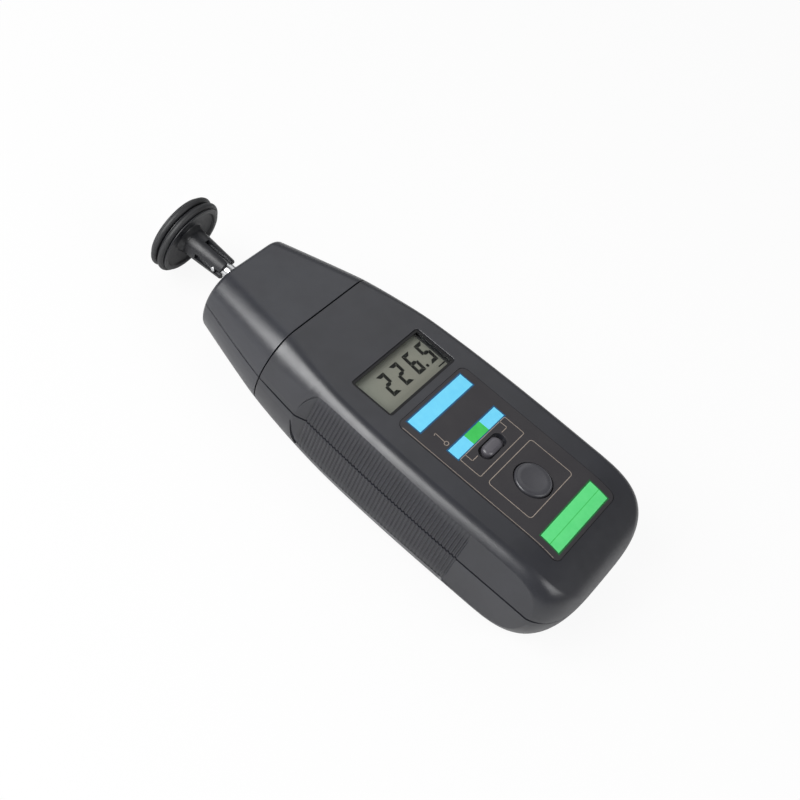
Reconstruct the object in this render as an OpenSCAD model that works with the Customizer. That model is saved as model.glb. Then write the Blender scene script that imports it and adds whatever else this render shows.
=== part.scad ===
// Contact tachometer with its surface speed wheel fitted, lying on its back with the display up.
// +X is the right-hand side of the display, +Y points along the spindle to the wheel and +Z comes
// out of the face. The origin lies on the flat back face. All lengths are in millimetres.

/* [Casing] */
// Distance from the origin back to the end of the tail
tail_l = 69.6; // [67:0.2:76]
// Distance from the origin forward to the seam between body and nose
seam_y = 69.6; // [68:0.2:76]
// Length of the nose, from the seam to its front face
nose_l = 36; // [34:0.5:42]
// Thickness of the body from back to face
body_h = 39; // [38:0.2:44]
// Height of the parting line above the back
split_h = 22; // [21.5:0.1:23]
// Width of the body over its rounded sides, before the grips are cut flat
body_w = 76; // [74:0.5:82]
// Width of the body at the seam
seam_w = 63.6; // [60:0.2:68]
// Width of the front face of the nose
nose_w = 43.4; // [40:0.2:50]
// How far the face slopes down from the seam to the front of the nose
nose_drop = 5.2; // [3:0.1:6]
// Height of the back above the table at the seam
seam_rise = 2.7; // [1.5:0.1:3]
// Height of the back above the table at the front of the nose
nose_rise = 4.6; // [3:0.1:5]
// Wall thickness of the casing
wall = 2.2; // [1.8:0.1:2.6]
// Gap that shows as the seam line between body and nose
seam_gap = 0.4; // [0.2:0.1:0.8]
// Width of the rounded shoulder beside the face, along the body
body_corner = 8; // [6:0.2:9]
// Width of the rounded shoulder at the seam
seam_corner = 12.6; // [10:0.2:14]
// Width of the rounded shoulder at the front of the nose
nose_corner = 11.2; // [9:0.2:12]
// Width of the rounding between the sides and the back
back_corner = 10; // [8:0.2:11]
// Radius of the front edge of the nose
nose_edge = 1.6; // [0.8:0.2:2.2]

/* [Grips] */
// Width across the flat ribbed grips at their widest
grip_w = 72.6; // [71:0.2:74]
// Where the grips start behind the nose
grip_front_y = 46.5; // [44:0.5:50]
// Where the ribs end towards the tail
grip_rear_y = -28; // [-34:0.5:-20]
// How much closer to the middle each grip lies at its front end
grip_bow = 3.1; // [2:0.1:3.4]
// Draft angle of the grips away from the parting line
grip_draft = 6; // [3:0.5:7]
// Distance from one rib to the next
rib_pitch = 1.25; // [1:0.05:2]
// Depth of the grooves between the ribs
rib_depth = 0.4; // [0.2:0.05:0.5]
// Length of the ramp in front of the ribs
ramp_l = 6; // [4:0.5:8]
// Rise of that ramp
ramp_h = 2.2; // [1.8:0.1:3]

/* [Face] */
// Width of the display opening
window_w = 38.6; // [34:0.2:40]
// Height of the display opening along the body
window_h = 17; // [15:0.2:19]
// Centre of the display opening
window_y = 32.2; // [31.5:0.1:33]
// Depth of the clear pane below the face
window_depth = 1.25; // [1:0.05:1.4]
// Width of the printed panel sheet
panel_w = 43.2; // [40:0.2:44]
// Front edge of the panel sheet, towards the display
panel_front_y = 19.5; // [18:0.1:20]
// Rear edge of the panel sheet, towards the tail
panel_rear_y = -54.4; // [-55:0.1:-52]
// Thickness of the panel sheet
panel_t = 0.25; // [0.15:0.05:0.3]
// Depth of the recess that takes the panel sheet
panel_recess = 0.35; // [0.3:0.05:0.5]

/* [Controls] */
// Diameter of the memory button
memory_d = 14.7; // [13:0.1:15.5]
// Place of the memory button along the body
memory_y = -28.7; // [-30:0.1:-27]
// How far the memory button stands out of the face
memory_proud = 0.9; // [0.8:0.1:1.6]
// Travel of the memory button
memory_travel = 0.6; // [0.3:0.05:0.7]
// Length of the slide knob
knob_l = 10; // [9:0.1:11]
// Width of the slide knob
knob_w = 5.2; // [4.5:0.1:6]
// Place of the slide knob along the body
knob_y = -9.8; // [-11:0.1:-9]
// How far the slide knob stands out of the face
knob_proud = 0.7; // [0.5:0.1:1.5]
// Travel of the slide knob to each side
knob_travel = 2.2; // [1.8:0.1:2.5]
// Length of the measuring button on the side
measure_l = 14; // [12:0.2:14.4]
// Height of the measuring button
measure_h = 6.5; // [5.5:0.1:7]
// Place of the measuring button along the body
measure_y = 14.8; // [14.6:0.1:15]
// How far the measuring button stands out of the grip
measure_proud = 1.3; // [1:0.1:1.6]
// Travel of the measuring button
measure_travel = 0.8; // [0.4:0.1:1]
// Gap around every moving control
control_gap = 0.4; // [0.2:0.05:0.5]

/* [Spindle and wheel] */
// Height of the spindle axis above the back
spindle_z = 19.4; // [19:0.1:19.8]
// Diameter of the spindle
spindle_d = 6; // [5:0.1:6.4]
// Distance that the spindle reaches out of the nose
spindle_reach = 24.3; // [22:0.1:28]
// Diameter of the wheel over its rubber rings, for a circumference of 100 mm
wheel_d = 31.83; // [30:0.01:36]
// Width of the wheel's rim
wheel_w = 7.4; // [7.2:0.1:9]
// Thickness of the wheel's rubber rings
ring_d = 2.6; // [2.2:0.1:2.8]
// Length of the wheel's hub behind its rim
hub_l = 18.2; // [16:0.1:18.4]
// Diameter of the hub at its free end
hub_tip_d = 9; // [8.6:0.1:9.8]
// Diameter of the hub where it meets the wheel
hub_root_d = 11.2; // [10.5:0.1:12]
// Length of the slots that make the hub's four prongs
hub_slot_l = 12; // [8:0.5:14]
// Diameter of the cross pin that drives the hub
pin_d = 2; // [1.6:0.1:2.2]
// Running clearance between the spindle and what turns or slides on it
running_gap = 0.04; // [0.02:0.01:0.08]
// Diameter of the encoder disc
disc_d = 24; // [22:0.2:24.4]
// Thickness of the encoder disc
disc_t = 0.8; // [0.5:0.1:1]
// Number of slots in the encoder disc
disc_slots = 20; // [12:2:24]

/* [Battery compartment] */
// Diameter of an AA cell
cell_d = 14.5; // [14:0.1:14.6]
// Length of an AA cell with its nub
cell_l = 50.5; // [49.5:0.1:50.8]
// Distance between the middles of neighbouring cells
cell_pitch = 15; // [14.8:0.1:15.2]
// Length of the compartment between its end walls
bay_l = 56; // [55.6:0.1:56.4]
// Rear end of the compartment
bay_rear_y = -59; // [-59.2:0.1:-58.8]
// Width of the battery cover
cover_w = 60.6; // [60.2:0.1:61]
// Front edge of the battery cover
cover_front_y = -6; // [-7:0.1:-5.6]
// Travel of the battery cover until it is clear of its grooves
cover_travel = 50; // [30:1:52]

/* [Boards] */
// Width of the main board
board_w = 47; // [46.4:0.1:47.2]
// Thickness of the main board
board_t = 1.6; // [1.2:0.1:1.6]
// Height of the main board's upper face above the back
board_z = 27.6; // [27.4:0.1:27.8]

/* [Hidden] */
$fn = 48;

// One overrun for every cut, and the small clearance between pieces that are fitted together
over = 1;
fit_gap = 0.1;
// How far a boss or rib reaches into the wall that carries it, and how far what stands inside a
// shell stays short of the parting plane, so that the shells meet at their edges
root = 0.6;
relief = 0.15;

// Curves of the casing: where the body is widest, where its tail starts to round, and the
// powers that shape its plan, its side view and the taper of its nose
wide_at = 30;
tail_start = 40;
corner_y = 40;
rise_y = 30;
waist_power = 2.7;
nose_power = 1.08;
rise_power = 1.5;
tail_plan_power = 3.8;
tail_side_power = 2.2;
arc_steps = 8;
tail_shares = [0.994, 0.965, 0.91, 0.83, 0.72, 0.58, 0.4, 0.2];
body_shares = [0, 0.2, 0.4, 0.56, 0.7, 0.8, 0.9, 1];
nose_shares = [0, 0.35, 0.7];
edge_angles = [0, 30, 60, 90];
// Extra inset of the inner sides behind the flat grips, and of the nose's spigot
grip_inset = max(0, body_w - grip_w) / 2 + fit_gap;
spigot_l = 4;
spigot_t = 1.4;
spigot_shelf = 1.6;
nose_wall_front = 3;

nose_y = seam_y + nose_l;
spindle_y = nose_y + spindle_reach;

function tail_share(y, t) = (-tail_start - y) / (tail_l - t - tail_start);
function round_off(s, power) = pow(max(0, 1 - pow(s, power)), 1 / power);
function blend(a, b, share) = a + (b - a) * share;
function nose_share(y) = (y - seam_y) / nose_l;

// Half width of the casing at y, inset by t at the sides and by tz at the end of the tail
function half_w(y, t, tz) =
    y > seam_y ? blend(seam_w, nose_w, pow(nose_share(y), nose_power)) / 2 - t
    : y > -wide_at ? blend(body_w, seam_w, pow((y + wide_at) / (seam_y + wide_at), waist_power)) / 2 - t
    : y > -tail_start ? body_w / 2 - t
    : (body_w / 2 - t) * round_off(tail_share(y, tz), tail_plan_power);

// Height of the face and of the back at y, inset by t
function face_z(y, t) =
    y > seam_y ? body_h - t - nose_drop * nose_share(y)
    : y > -tail_start ? body_h - t
    : blend(split_h, body_h - t, round_off(tail_share(y, t), tail_side_power));
function back_z(y, t) =
    y > seam_y ? t + blend(seam_rise, nose_rise, nose_share(y))
    : y > rise_y ? t + seam_rise * pow((y - rise_y) / (seam_y - rise_y), rise_power)
    : y > -tail_start ? t
    : blend(split_h, t, round_off(tail_share(y, t), tail_side_power));
function shoulder(y) =
    y > seam_y ? blend(seam_corner, nose_corner, nose_share(y))
    : y > corner_y
        ? blend(body_corner, seam_corner, pow((y - corner_y) / (seam_y - corner_y), rise_power))
    : body_corner;
// Inset of the inner side surface, which grows behind the flat grips
function side_t(y) =
    wall + grip_inset * (y > seam_y ? 0 : min(1, (seam_y - y) / (seam_y - grip_front_y - ramp_l)));

// Half ring of points at y from the right parting line over the face, or under the back
function half_ring(y, ts, tz, up) =
    let (a = half_w(y, ts, tz),
        r = min(a, (up ? shoulder(y) : back_corner) - ts),
        h = (up ? face_z(y, tz) : back_z(y, tz)) - split_h,
        side = [for (i = [0 : arc_steps]) let (q = 90 * i / arc_steps)
            [a - r + r * cos(q), split_h + h * sin(q)]])
    concat([for (p = side) [p[0], y, p[1]]],
        [for (i = [arc_steps : -1 : 0]) [-side[i][0], y, side[i][1]]]);

// Half of a hollow moulding as one closed skin: the rings go along the outside from the closed
// end to the open one and back along the inside, and seats, as lists of rings, name the convex
// pieces of the flat face on the parting plane
module half_shell(stations, seats, up, tail_first) {
    rings = [for (s = stations) half_ring(s[0], s[1], s[2], up)];
    n = len(rings[0]);
    m = len(rings);
    sides = [for (i = [0 : m - 2]) for (j = [0 : n - 2]) for (k = [0, 1])
        k == 0 ? [i * n + j, (i + 1) * n + j, i * n + j + 1]
            : [i * n + j + 1, (i + 1) * n + j, (i + 1) * n + j + 1]];
    first = [for (j = [0 : n - 1]) j];
    last = [for (j = [n - 1 : -1 : 0]) (m - 1) * n + j];
    bridge = [0, n - 1, m * n - 1, (m - 1) * n];
    left = [for (f = seats) [for (i = f) i * n + n - 1]];
    right = [for (f = seats) [for (k = [len(f) - 1 : -1 : 0]) f[k] * n]];
    faces = concat(sides, left, right, [first, last, bridge]);
    flip = up != tail_first;
    polyhedron(points = [for (r = rings) for (p = r) p],
        faces = flip ? faces : [for (f = faces) [for (i = [len(f) - 1 : -1 : 0]) f[i]]]);
}

function paired_seats(m) = [for (i = [0 : m / 2 - 2]) [i, i + 1, m - 2 - i, m - 1 - i]];
function tail_y(s, t) = -tail_start - s * (tail_l - t - tail_start);
function body_y(s) = blend(-wide_at, seam_y, s);
// Stations of the body's outside from the tail to the seam, and of its inside back to the tail
function body_outside(t) = concat(
    [for (s = tail_shares) [tail_y(s, t), t, t]],
    [[-tail_start, t, t]],
    [for (s = body_shares) [body_y(s), t, t]]);
function body_inside(t) = concat(
    [for (i = [len(body_shares) - 1 : -1 : 0]) [body_y(body_shares[i]), side_t(body_y(body_shares[i])), t]],
    [[-tail_start, side_t(-tail_start), t]],
    [for (i = [len(tail_shares) - 1 : -1 : 0]) [tail_y(tail_shares[i], t), side_t(0), t]]);
// Stations of the nose: front edge, outside, stepped spigot and inside
spigot_t0 = wall + fit_gap;
spigot_t1 = wall + fit_gap + spigot_t;
nose_stations = concat(
    [for (i = [len(edge_angles) - 1 : -1 : 0]) let (a = edge_angles[i], t = nose_edge * (1 - cos(a)))
        [nose_y - nose_edge * (1 - sin(a)), t, t]],
    [for (i = [len(nose_shares) - 1 : -1 : 1]) [seam_y + nose_shares[i] * nose_l, 0, 0]],
    [[seam_y + seam_gap, 0, 0], [seam_y + seam_gap, spigot_t0, spigot_t0],
        [seam_y - spigot_l, spigot_t0 + grip_inset * spigot_l / (seam_y - grip_front_y - ramp_l), spigot_t0],
        [seam_y - spigot_l, spigot_t1 + grip_inset * spigot_l / (seam_y - grip_front_y - ramp_l), spigot_t1],
        [seam_y + seam_gap + spigot_shelf, spigot_t1, spigot_t1],
        [seam_y + seam_gap + spigot_shelf, wall, wall]],
    [for (i = [1 : len(nose_shares) - 1]) [seam_y + nose_shares[i] * nose_l, wall, wall]],
    [[nose_y - nose_wall_front, wall, wall]]);

nose_seats = [[0, 1, 14], [1, 2, 14], [2, 3, 14], [3, 4, 13, 14], [4, 5, 12, 13], [5, 6, 11, 12],
    [6, 10, 11], [6, 7, 10], [7, 9, 10], [7, 8, 9]];
shell_stations = concat(body_outside(0), body_inside(wall));

// Half width of the flat grip at y, on the parting plane
function grip_x(y) =
    grip_w / 2 - grip_bow * pow(max(0, y + wide_at) / (grip_front_y + wide_at), 2);
rib_count = floor((grip_front_y - grip_rear_y) / rib_pitch);
rib_root_shares = [0.3, 0.5];
measure_margin = 3;
plate_reach = measure_l / 2 + measure_margin;
// Plan of what is cut off one side, to make the ramp, the grooves between the ribs and the
// plain flat behind them; the ribs leave a plain field round the measuring button
function groove_kept(k, plain) = let (y = grip_front_y - (k + 0.5) * rib_pitch)
    !plain || abs(y - measure_y) > plate_reach;
function grip_plan(plain) = concat(
    [[body_w, grip_front_y + ramp_l], [grip_x(grip_front_y) + ramp_h, grip_front_y + ramp_l]],
    [for (k = [0 : rib_count - 1]) let (y = grip_front_y - k * rib_pitch, x = grip_x(y)) each
        groove_kept(k, plain)
            ? [[x, y], [x - rib_depth, y - rib_root_shares[0] * rib_pitch],
                [x - rib_depth, y - rib_root_shares[1] * rib_pitch]]
            : [[x, y]]],
    [[grip_x(-wide_at), grip_rear_y], [grip_x(-wide_at), -tail_l - over], [body_w, -tail_l - over]]);

module grip_cut(up, plain) {
    translate([grip_w / 2, 0, split_h])
        rotate([0, up ? -grip_draft : grip_draft, 0])
            translate([-grip_w / 2, 0, up ? -over : -split_h - over])
                linear_extrude((up ? body_h - split_h : split_h) + 2 * over)
                    polygon(grip_plan(plain));
}
module grip_cuts(up) {
    grip_cut(up, true);
    mirror([1, 0, 0]) grip_cut(up, false);
}

// Small builders
module at_each(places) {
    for (p = places) translate([p[0], p[1], 0]) children();
}
module block(x, y, z0, w, l, h) {
    translate([x - w / 2, y - l / 2, z0]) cube([w, l, h]);
}
module post(z0, z1, d) {
    translate([0, 0, z0]) cylinder(d = d, h = z1 - z0);
}
// An eight-sided boss, measured across its flats
module boss(z0, z1, d) {
    translate([0, 0, z0]) rotate([0, 0, 180 / 8]) cylinder(d = d / cos(180 / 8), h = z1 - z0, $fn = 8);
}
module round_rect(w, h, r) {
    square([w - 2 * r, h], center = true);
    square([w, h - 2 * r], center = true);
    for (i = [-1, 1]) for (j = [-1, 1]) translate([i * (w / 2 - r), j * (h / 2 - r)]) circle(r = r);
}
module stadium(l, w) {
    square([l - w, w], center = true);
    for (i = [-1, 1]) translate([i * (l - w) / 2, 0]) circle(d = w);
}
module along_y(y) {
    translate([0, y, spindle_z]) rotate([-90, 0, 0]) children();
}
// A pan-head screw with its head down at z0 and a cross recess, shank upwards
module screw(z0, head_d, head_h, shank_d, shank_l) {
    difference() {
        union() {
            post(z0, z0 + head_h, head_d);
            post(z0 + head_h, z0 + head_h + shank_l, shank_d);
        }
        for (a = [0, 90]) rotate([0, 0, a])
            block(0, 0, z0 - over, head_d * 0.6, head_d * 0.16, over + head_h * 0.5);
    }
}

// Fasteners: the casing's, the nose's, the main board's and the bearing housing's
// The rear casing screws stand in front of the battery bay and the front ones behind the seam
rear_case_screw_x = 26;
front_case_screw_x = 22.4;
case_screw_from_bay = 6.2;
case_screw_from_seam = 13.6;
nose_screw_x = 19;
nose_screw_from_seam = 7.9;
board_screw_x = 20.5;
board_screw_edge_rear = 3.5;
board_screw_edge_front = 2.9;
housing_screw_x = 10.9;
housing_screw_from_rear = 5.5;
housing_screw_from_front = 6.9;
board_rear_y = -52;
board_to_seam = 17.4;
board_front_y = seam_y - board_to_seam;
housing_to_seam = 7.4;
housing_y0 = seam_y + housing_to_seam;
housing_y1 = nose_y - nose_wall_front - 2 * fit_gap;
bay_front_y = bay_rear_y + bay_l;
function pair_at(x, y) = [[-x, y], [x, y]];
case_screws_at = concat(pair_at(rear_case_screw_x, bay_front_y + case_screw_from_bay),
    pair_at(front_case_screw_x, seam_y - case_screw_from_seam));
nose_screws_at = pair_at(nose_screw_x, seam_y + nose_screw_from_seam);
board_screws_at = concat(pair_at(board_screw_x, board_rear_y + board_screw_edge_rear),
    pair_at(board_screw_x, board_front_y - board_screw_edge_front));
housing_screws_at = concat(pair_at(housing_screw_x, housing_y0 + housing_screw_from_rear),
    pair_at(housing_screw_x, housing_y1 - housing_screw_from_front));
boss_d = 6.8;
head_boss_d = 8.4;
head_well_d = 6;
head_well_z = 9;
screw_d = 2.8;
screw_hole_d = 3.2;
screw_pilot_d = 2.9;
screw_head_d = 5.4;
screw_head_h = 1.9;
screw_bite = 7;
boss_drop = 1.8;
small_boss_d = 6;
small_screw_d = 2;
small_pilot_d = 2.1;
small_head_d = 3.8;
small_head_h = 1.4;
small_bite = 5;

// The upper half of a screwed joint: a boss with a blind pilot hole
module upper_boss(p, z0, z1, d) {
    translate([p[0], p[1], 0]) boss(z0, z1, d);
}
module pilot(p, z0, depth, d) {
    translate([p[0], p[1], 0]) post(z0 - over, z0 + depth + root, d);
}

// Face pieces
pane_t = 1;
pane_margin = 2.1;
frame_step = 1;
frame_step_depth = 0.5;
panel_corner = 3;
panel_l = panel_front_y - panel_rear_y;
panel_mid_y = (panel_front_y + panel_rear_y) / 2;
slot_l = knob_l + 2 * knob_travel + 2 * fit_gap;
slot_w = knob_w + 2 * fit_gap + control_gap;
memory_hole_d = memory_d + 2 * control_gap;

measure_z = 28.6;
measure_tilt = grip_draft;
measure_face_x = grip_x(measure_y) - (measure_z - split_h) * tan(grip_draft);

module upper_shell() {
    color("#3b3c41") difference() {
        union() {
            difference() {
                half_shell(shell_stations, paired_seats(len(shell_stations)), true, true);
                grip_cuts(true);
            }
            for (p = case_screws_at) upper_boss(p, split_h + relief, body_h - wall + root, boss_d);
            for (p = board_screws_at)
                upper_boss(p, board_z, face_z(p[1], wall) + root, small_boss_d);
        }
        for (p = case_screws_at) pilot(p, split_h, screw_bite, screw_pilot_d);
        for (p = board_screws_at) pilot(p, board_z, small_bite, small_pilot_d);
        block(0, window_y, body_h - wall - over, window_w, window_h, wall + 2 * over);
        block(0, window_y, body_h - frame_step_depth, window_w + 2 * frame_step,
            window_h + 2 * frame_step, over);
        block(0, window_y, body_h - wall - over, window_w + 2 * pane_margin,
            window_h + 2 * pane_margin, wall + over - window_depth);
        translate([0, panel_mid_y, body_h - panel_recess])
            linear_extrude(over) round_rect(panel_w, panel_l, panel_corner);
        translate([0, knob_y, body_h - wall - over])
            linear_extrude(wall + 2 * over) stadium(slot_l, slot_w);
        translate([0, memory_y, 0]) post(body_h - wall - over, body_h + over, memory_hole_d);
        translate([body_w / 4, measure_y, measure_z]) rotate([90, 0, 90])
            linear_extrude(body_w / 2)
                stadium(measure_l + 2 * control_gap, measure_h + 2 * control_gap);
    }
}

// Battery bay of the lower shell
ceiling_t = 1.05;
bay_wall = 1.5;
bay_half_w = 34.5;
bay_floor_half_w = 27;
bay_step_z = 4;
bay_rear_half_w = 28;
cell_z = split_h - ceiling_t - fit_gap - cell_d / 2;
cover_top_z = 9;
cover_t = 2.2;
tongue_z = 2.6;
tongue_t = 1.4;
tongue_w = 1.2;
tongue_rear_y = -44;
cover_rib_w = 2.7;
cover_rib_top_z = 6.2;
cover_ribs_at = [-50, -33, -16];
cover_rib_t = 1.2;
cover_rib_l = 50;
latch_w = 14;
latch_l = 2;
thumb_grooves = 6;
thumb_inset = 8;
thumb_pitch = 2;
thumb_w = 22;
thumb_l = 1;
thumb_depth = 0.6;
// Slotted holder for the upright sensor board
sensor_x = 16.8;
disc_to_seam = 7.2;
disc_y = seam_y - disc_to_seam;
sensor_offset = 1.2;
sensor_y = disc_y - sensor_offset;
sensor_board_t = 1.6;
sensor_board_l = 8.6;
sensor_board_z0 = 7;
sensor_board_z1 = 29;
holder_h = 6;
holder_wall = 1.4;

module lower_boss(p) {
    translate([p[0], p[1], 0]) boss(back_z(p[1], wall) - root, split_h - relief, head_boss_d);
}
module lower_shell() {
    color("#3b3c41") difference() {
        union() {
            difference() {
                half_shell(shell_stations, paired_seats(len(shell_stations)), false, true);
                grip_cuts(false);
            }
            for (p = case_screws_at) lower_boss(p);
            block(0, (bay_rear_y + bay_front_y) / 2, split_h - ceiling_t, 2 * bay_half_w,
                bay_l + 2 * bay_wall, ceiling_t - relief);
            block(0, bay_front_y + bay_wall / 2, wall - root, 2 * bay_floor_half_w, bay_wall,
                split_h - relief - wall + root);
            block(0, bay_front_y + bay_wall / 2, bay_step_z, 2 * (bay_half_w - 2 * bay_wall),
                bay_wall, split_h - relief - bay_step_z);
            block(0, bay_rear_y - bay_wall / 2, cover_top_z, 2 * bay_rear_half_w, bay_wall,
                split_h - relief - cover_top_z);
            block(sensor_x, sensor_y, back_z(sensor_y, wall) - root,
                sensor_board_t + 2 * holder_wall, sensor_board_l,
                holder_h + root);
        }
        for (p = case_screws_at) translate([p[0], p[1], 0]) {
            post(-over, head_well_z, head_well_d);
            post(-over, split_h + over, screw_hole_d);
        }
        block(sensor_x, sensor_y, sensor_board_z0, sensor_board_t + 2 * fit_gap,
            sensor_board_l + 2 * over, holder_h);
        translate([-cover_w / 2 - fit_gap, -tail_l - over, -over])
            cube([cover_w + 2 * fit_gap, tail_l + over + cover_front_y + fit_gap, cover_top_z + over]);
        // Grooves for the cover's tongues, open at the tail so that the cover slides off
        translate([-cover_w / 2 - tongue_w - 2 * fit_gap, -tail_l - over, tongue_z - 2 * fit_gap])
            cube([cover_w + 2 * tongue_w + 4 * fit_gap, tail_l + over + cover_front_y - fit_gap,
                tongue_t + 4 * fit_gap]);
    }
}

cover_stations = concat(body_outside(0),
    [for (i = [len(body_shares) - 1 : -1 : 0]) [body_y(body_shares[i]), cover_t, cover_t]],
    [[-tail_start, cover_t, cover_t]],
    [for (i = [len(tail_shares) - 1 : -1 : 0]) [tail_y(tail_shares[i], cover_t), cover_t, cover_t]]);
module battery_cover() {
    color("#37383d") difference() {
        union() {
            intersection() {
                half_shell(cover_stations, paired_seats(len(cover_stations)), false, true);
                translate([-cover_w / 2, -tail_l, 0])
                    cube([cover_w, tail_l + cover_front_y, cover_top_z - fit_gap]);
            }
            for (side = [-1, 1]) translate([side * cover_w / 2, 0, 0]) {
                block(0, (cover_front_y - latch_l + tongue_rear_y) / 2, tongue_z, 2 * tongue_w,
                    cover_front_y - latch_l - tongue_rear_y, tongue_t);
                block(-side * cover_rib_w / 2, (cover_front_y - latch_l + tongue_rear_y) / 2,
                    cover_t - root, cover_rib_w, cover_front_y - latch_l - tongue_rear_y,
                    tongue_z + tongue_t - cover_t + root);
            }
            for (y = cover_ribs_at) block(0, y, cover_t - root, cover_rib_l, cover_rib_t,
                cover_rib_top_z - cover_t + root);
            block(0, cover_front_y, tongue_z, latch_w, 2 * latch_l, tongue_t);
            block(0, cover_front_y - latch_l, cover_t - root, latch_w, 2 * latch_l, tongue_t);
        }
        for (k = [0 : thumb_grooves - 1]) block(0, cover_front_y - thumb_inset - k * thumb_pitch,
            -over, thumb_w, thumb_l, over + thumb_depth);
    }
}

module nose_half(up) {
    difference() {
        half_shell(nose_stations, nose_seats, up, false);
        along_y(nose_y - nose_wall_front - over) cylinder(d = spindle_d + 3, h = nose_wall_front + 2 * over);
    }
}
module nose_upper() {
    color("#45474b") difference() {
        union() {
            nose_half(true);
            for (p = nose_screws_at) upper_boss(p, split_h + relief, face_z(p[1], boss_drop), boss_d);
        }
        for (p = nose_screws_at) pilot(p, split_h, screw_bite, screw_pilot_d);
    }
}
housing_base_z = 8.4;
module nose_lower() {
    color("#45474b") difference() {
        union() {
            nose_half(false);
            for (p = nose_screws_at) lower_boss(p);
            for (p = housing_screws_at) translate([p[0], p[1], 0])
                boss(back_z(p[1], wall) - root, housing_base_z, small_boss_d - 1);
        }
        for (p = nose_screws_at) translate([p[0], p[1], 0]) {
            post(-over, head_well_z, head_well_d);
            post(-over, split_h + over, screw_hole_d);
        }
        for (p = housing_screws_at) translate([p[0], p[1], 0])
            post(housing_base_z - 3, housing_base_z + over, small_pilot_d);
    }
}

module face_overlay() {
    color("#37363a") translate([0, 0, body_h - panel_recess]) linear_extrude(panel_t) difference() {
        translate([0, panel_mid_y])
            round_rect(panel_w - 2 * fit_gap, panel_l - 2 * fit_gap, panel_corner - fit_gap);
        translate([0, knob_y]) stadium(slot_l + fit_gap, slot_w + fit_gap);
        translate([0, memory_y]) circle(d = memory_hole_d + fit_gap);
    }
}

pane_z = body_h - window_depth;
module display_window() {
    color("#a9ada6", 0.4) block(0, window_y, pane_z - pane_t,
        window_w + 2 * (pane_margin - fit_gap), window_h + 2 * (pane_margin - fit_gap), pane_t);
}

// Display stack on the board
glass_w = 43.2;
glass_h = 23;
glass_t = 2.8;
glass_z = body_h - wall - glass_t - 0.8;
holder_rim = 1.8;
holder_lip = 1.5;
holder_lip_t = 0.6;
connector_w = 2.4;
module lcd_module() {
    color("#7d8076") block(0, window_y, glass_z, glass_w, glass_h, glass_t);
}
module lcd_holder() {
    w = glass_w + 2 * fit_gap;
    h = glass_h + 2 * fit_gap;
    color("#2b2c2f") difference() {
        block(0, window_y, board_z, w + 2 * holder_rim, h + 2 * holder_rim,
            glass_z + glass_t + holder_lip_t - board_z);
        block(0, window_y, board_z - over, w, h, glass_z + glass_t - board_z + over);
        block(0, window_y, board_z, w - 2 * holder_lip, h - 2 * holder_lip, body_h - board_z);
    }
}
module lcd_connectors() {
    color("#c7bfae") for (side = [-1, 1])
        block(0, window_y + side * (glass_h / 2 - connector_w / 2 - fit_gap), board_z,
            glass_w - 2 * holder_rim, connector_w, glass_z - board_z);
}

// Clearance round the casing's bosses where they pass the board
boss_clearance = 0.7;
module main_board() {
    color("#2f6b45") difference() {
        block(0, (board_rear_y + board_front_y) / 2, board_z - board_t, board_w,
            board_front_y - board_rear_y, board_t);
        at_each(board_screws_at) post(board_z - board_t - over, board_z + over, small_pilot_d);
        at_each(pair_at(rear_case_screw_x, bay_front_y + case_screw_from_bay))
            post(board_z - board_t - over, board_z + over, boss_d + 2 * boss_clearance);
    }
}
// Parts soldered to the board: the chip, the crystal, two capacitors, the regulator and a row of
// resistors
chip_w = 12;
chip_t = 1.8;
chip_x = -13;
chip_y = 5;
chip_lead_pitch = 1.27;
chip_lead_w = 0.5;
chip_lead_l = 1.2;
chip_lead_t = 0.4;
crystal_l = 10;
crystal_w = 4.2;
crystal_h = 3.4;
crystal_x = 15;
capacitor_d = 5;
capacitor_h = 5.5;
capacitor_x = 17.5;
capacitor_y = -14;
regulator_w = 9;
regulator_l = 5;
regulator_h = 1.5;
regulator_y = -44;
resistor_w = 1.4;
resistor_l = 2.6;
resistor_h = 0.7;
resistor_pitch = 4;
resistor_y = chip_y + chip_w / 2 + chip_lead_l + resistor_l;
module microcontroller() {
    color("#1d1e20") translate([chip_x, chip_y, 0]) {
        block(0, 0, board_z + fit_gap, chip_w, chip_w, chip_t);
        for (k = [-4 : 4]) for (a = [0, 90]) rotate([0, 0, a])
            block(k * chip_lead_pitch, 0, board_z, chip_lead_w, chip_w + 2 * chip_lead_l, chip_lead_t);
    }
}
module board_components() {
    color("#8b8d90") {
        translate([crystal_x, chip_y, board_z]) linear_extrude(crystal_h) stadium(crystal_l, crystal_w);
        for (side = [-1, 1]) translate([side * capacitor_x, capacitor_y, 0])
            post(board_z, board_z + capacitor_h, capacitor_d);
        block(0, regulator_y, board_z, regulator_w, regulator_l, regulator_h);
        for (k = [-2 : 2]) block(resistor_pitch * k, resistor_y, board_z, resistor_w, resistor_l, resistor_h);
    }
}

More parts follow.
